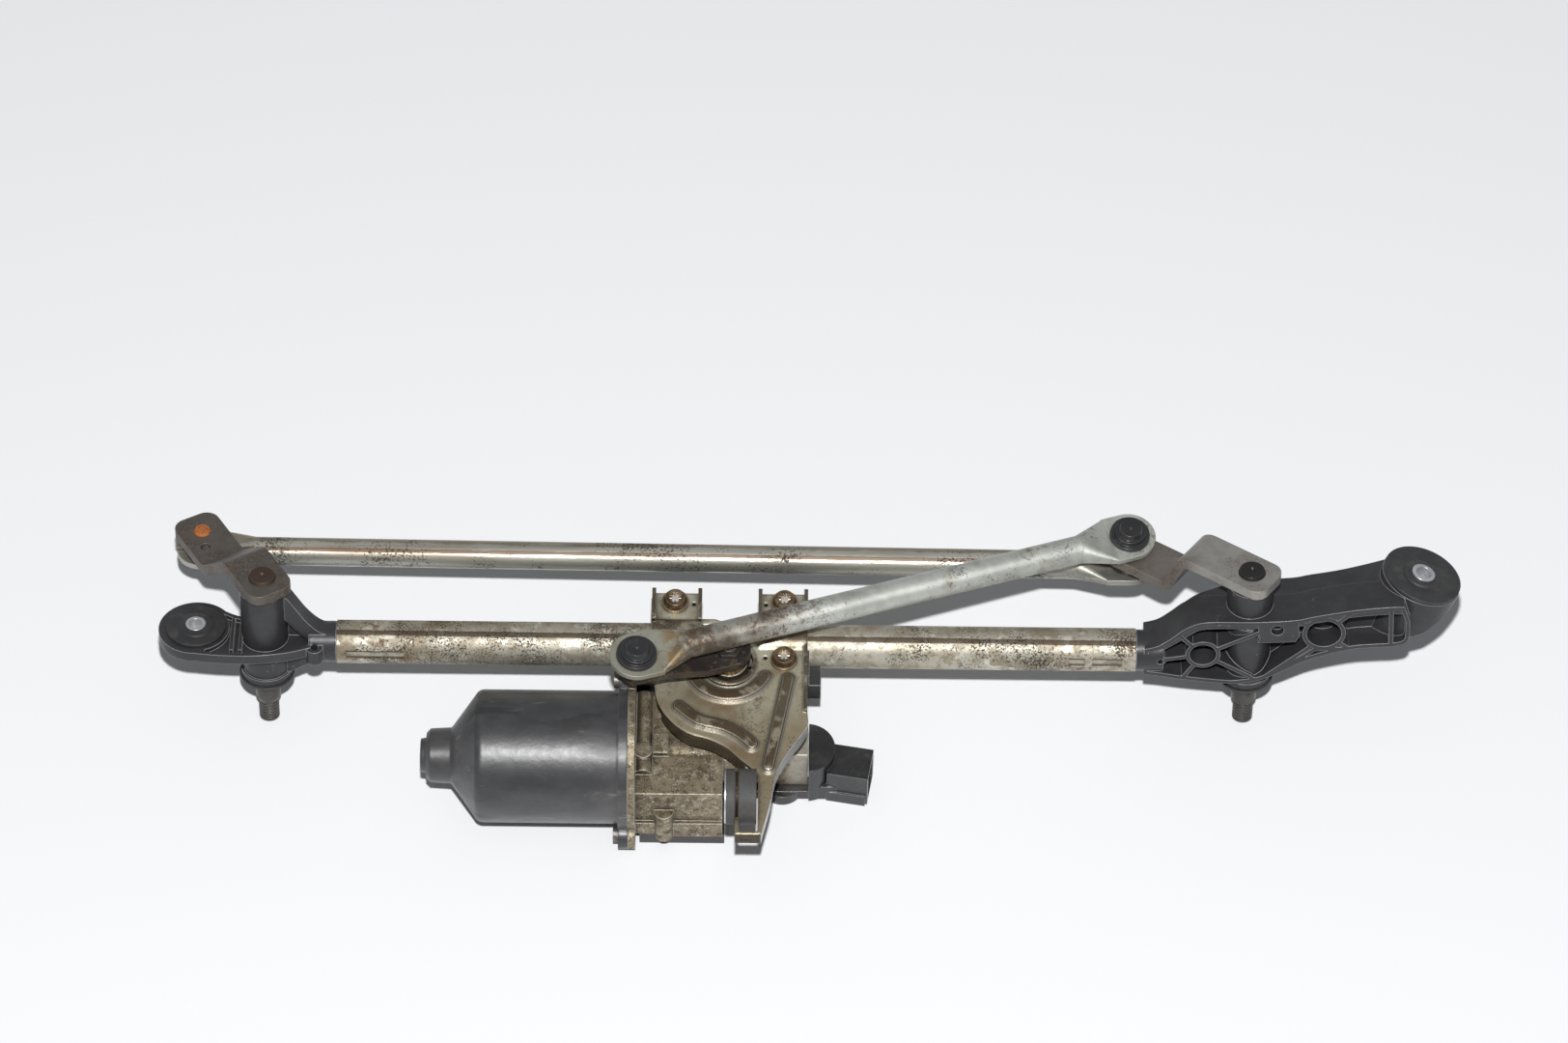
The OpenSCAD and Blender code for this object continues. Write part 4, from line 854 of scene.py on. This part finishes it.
# %% Which node wears what
wear = {
    tube_mat: ["frame_tube"], drive_mat: ["drive_link"], tie_mat: ["tie_link"],
    bracket_mat: ["motor_bracket"], bolt_mat: ["bracket_bolts"], lever_left: ["left_lever_arm"],
    lever_right: ["right_lever_arm"], rust_mat: ["left_lever_rivet"], alloy_mat: ["gear_housing"],
    crank_mat: ["crank_arm", "crank_nut"], can_mat: ["motor_can"],
    casting_mat: ["left_housing", "right_housing", "tube_cradles"],
    rubber_mat: ["left_mount_bush", "right_mount_bush", "spindle_seals"],
    grommet_mat: ["bracket_grommet"],
    plastic_mat: ["gear_cover", "drive_sockets", "tie_sockets", "brush_plate"],
    sleeve_mat: ["left_mount_sleeve", "right_mount_sleeve", "grommet_sleeve"],
    brass_mat: ["thrust_washer", "connector_pins", "spindle_bushes", "shaft_bushes",
                "armature_bushes"],
    copper_mat: ["windings", "commutator"], iron_mat: ["magnets", "armature_core", "brushes"],
    gear_mat: ["worm_wheel"], spindle_left: ["left_spindle"], spindle_right: ["right_spindle"],
    steel_mat: ["crank_ball_stud", "drive_ball_stud", "tie_ball_stud", "left_ball_stud",
                "lever_washers", "can_screws", "housing_screws", "output_shaft", "armature_shaft"],
}
for mat, names in wear.items():
    for name in names:
        nodes[name].data.materials.clear()
        nodes[name].data.materials.append(mat)
bare = sorted(set(nodes) - {name for names in wear.values() for name in names})
print("materials:", len(wear), "bare nodes:", bare)

# %% [markdown]
# ## Table, light and camera
#
# The object lies on a white table that fades into the background.

# %% Table
TABLE_SIZE, TABLE_DROP = 12.0, 0.0002
TABLE_WHITE, TABLE_ROUGH = (0.84, 0.85, 0.865), 0.6
bpy.ops.mesh.primitive_plane_add(size=TABLE_SIZE, location=(0, 0, -TABLE_DROP))
table = bpy.context.object
table.name = "table"
table_mat = bpy.data.materials.new("white table")
table_mat.use_nodes = True
table_bsdf = table_mat.node_tree.nodes["Principled BSDF"]
table_bsdf.inputs["Base Color"].default_value = rgba(TABLE_WHITE)
table_bsdf.inputs["Roughness"].default_value = TABLE_ROUGH
table.data.materials.append(table_mat)
print("table ready")

# %% [markdown]
# A dim, slightly blue sky keeps the shadows grey. It is brighter in reflections, as the walls
# of a room are, so that metal has something to mirror. Light Path tells a reflection from plain
# light.

# %% Sky
SKY_BLUE = (0.93, 0.96, 1.0)
SKY_LEVEL, SKY_IN_REFLECTIONS = 0.17, 0.18
world = bpy.data.worlds.new("even sky")
bpy.context.scene.world = world
world.use_nodes = True
sky = Tree(world.node_tree)
glossy = sky.add("ShaderNodeLightPath", out="Is Glossy Ray")
strength = sky.math("ADD", SKY_LEVEL, sky.math("MULTIPLY", glossy, SKY_IN_REFLECTIONS))
back = world.node_tree.nodes["Background"]
back.inputs["Color"].default_value = rgba(SKY_BLUE)
sky.put(back.inputs["Strength"], strength)
print("dim sky at", SKY_LEVEL)

# %% [markdown]
# The photo is a flash picture. The lamp sits a little above the camera, so each shadow is a
# thin dark band just below its piece. A wide soft lamp would lose that band, and a small disk
# gives it its narrow soft border. The camera's place comes first, because the lamp is set from
# it.

# %% Flash
AIM = Vector((-0.0122, 0.0981, 0.052))
TILT = math.radians(56.0)
DISTANCE = 3.6
LAMP_OFFSET = Vector((0.0, 0.29, 0.2))
eye = AIM + DISTANCE * Vector((0.0, -math.cos(TILT), math.sin(TILT)))
lamp_data = bpy.data.lights.new("flash", "AREA")
lamp_data.shape = "DISK"
lamp_data.size = 0.09
lamp_data.energy = 138.0
lamp = bpy.data.objects.new("flash", lamp_data)
bpy.context.collection.objects.link(lamp)
lamp.location = eye + LAMP_OFFSET
lamp.rotation_euler = (AIM - lamp.location).to_track_quat("-Z", "Y").to_euler()
print("flash", lamp_data.energy, "W")

# %% [markdown]
# The camera looks down at the angle of the photo, from far enough for its mild perspective, and
# is turned a little about its own axis as the photo is. The lens follows from the width that
# the picture shows at the aim.

# %% Camera
SENSOR = 36.0
WIDTH_SEEN = 0.8056
ROLL = math.radians(0.62)
cam_data = bpy.data.cameras.new("camera")
cam_data.sensor_width = SENSOR
cam_data.lens = SENSOR * DISTANCE / WIDTH_SEEN
cam_data.clip_end = 50.0
cam = bpy.data.objects.new("camera", cam_data)
bpy.context.collection.objects.link(cam)
look = (AIM - eye).to_track_quat("-Z", "Y").to_matrix().to_4x4()
cam.matrix_world = Matrix.Translation(eye) @ look @ Matrix.Rotation(ROLL, 4, "Z")
bpy.context.scene.camera = cam
bpy.context.scene.view_settings.view_transform = "Standard"
print("camera lens", round(cam_data.lens, 1), "mm")
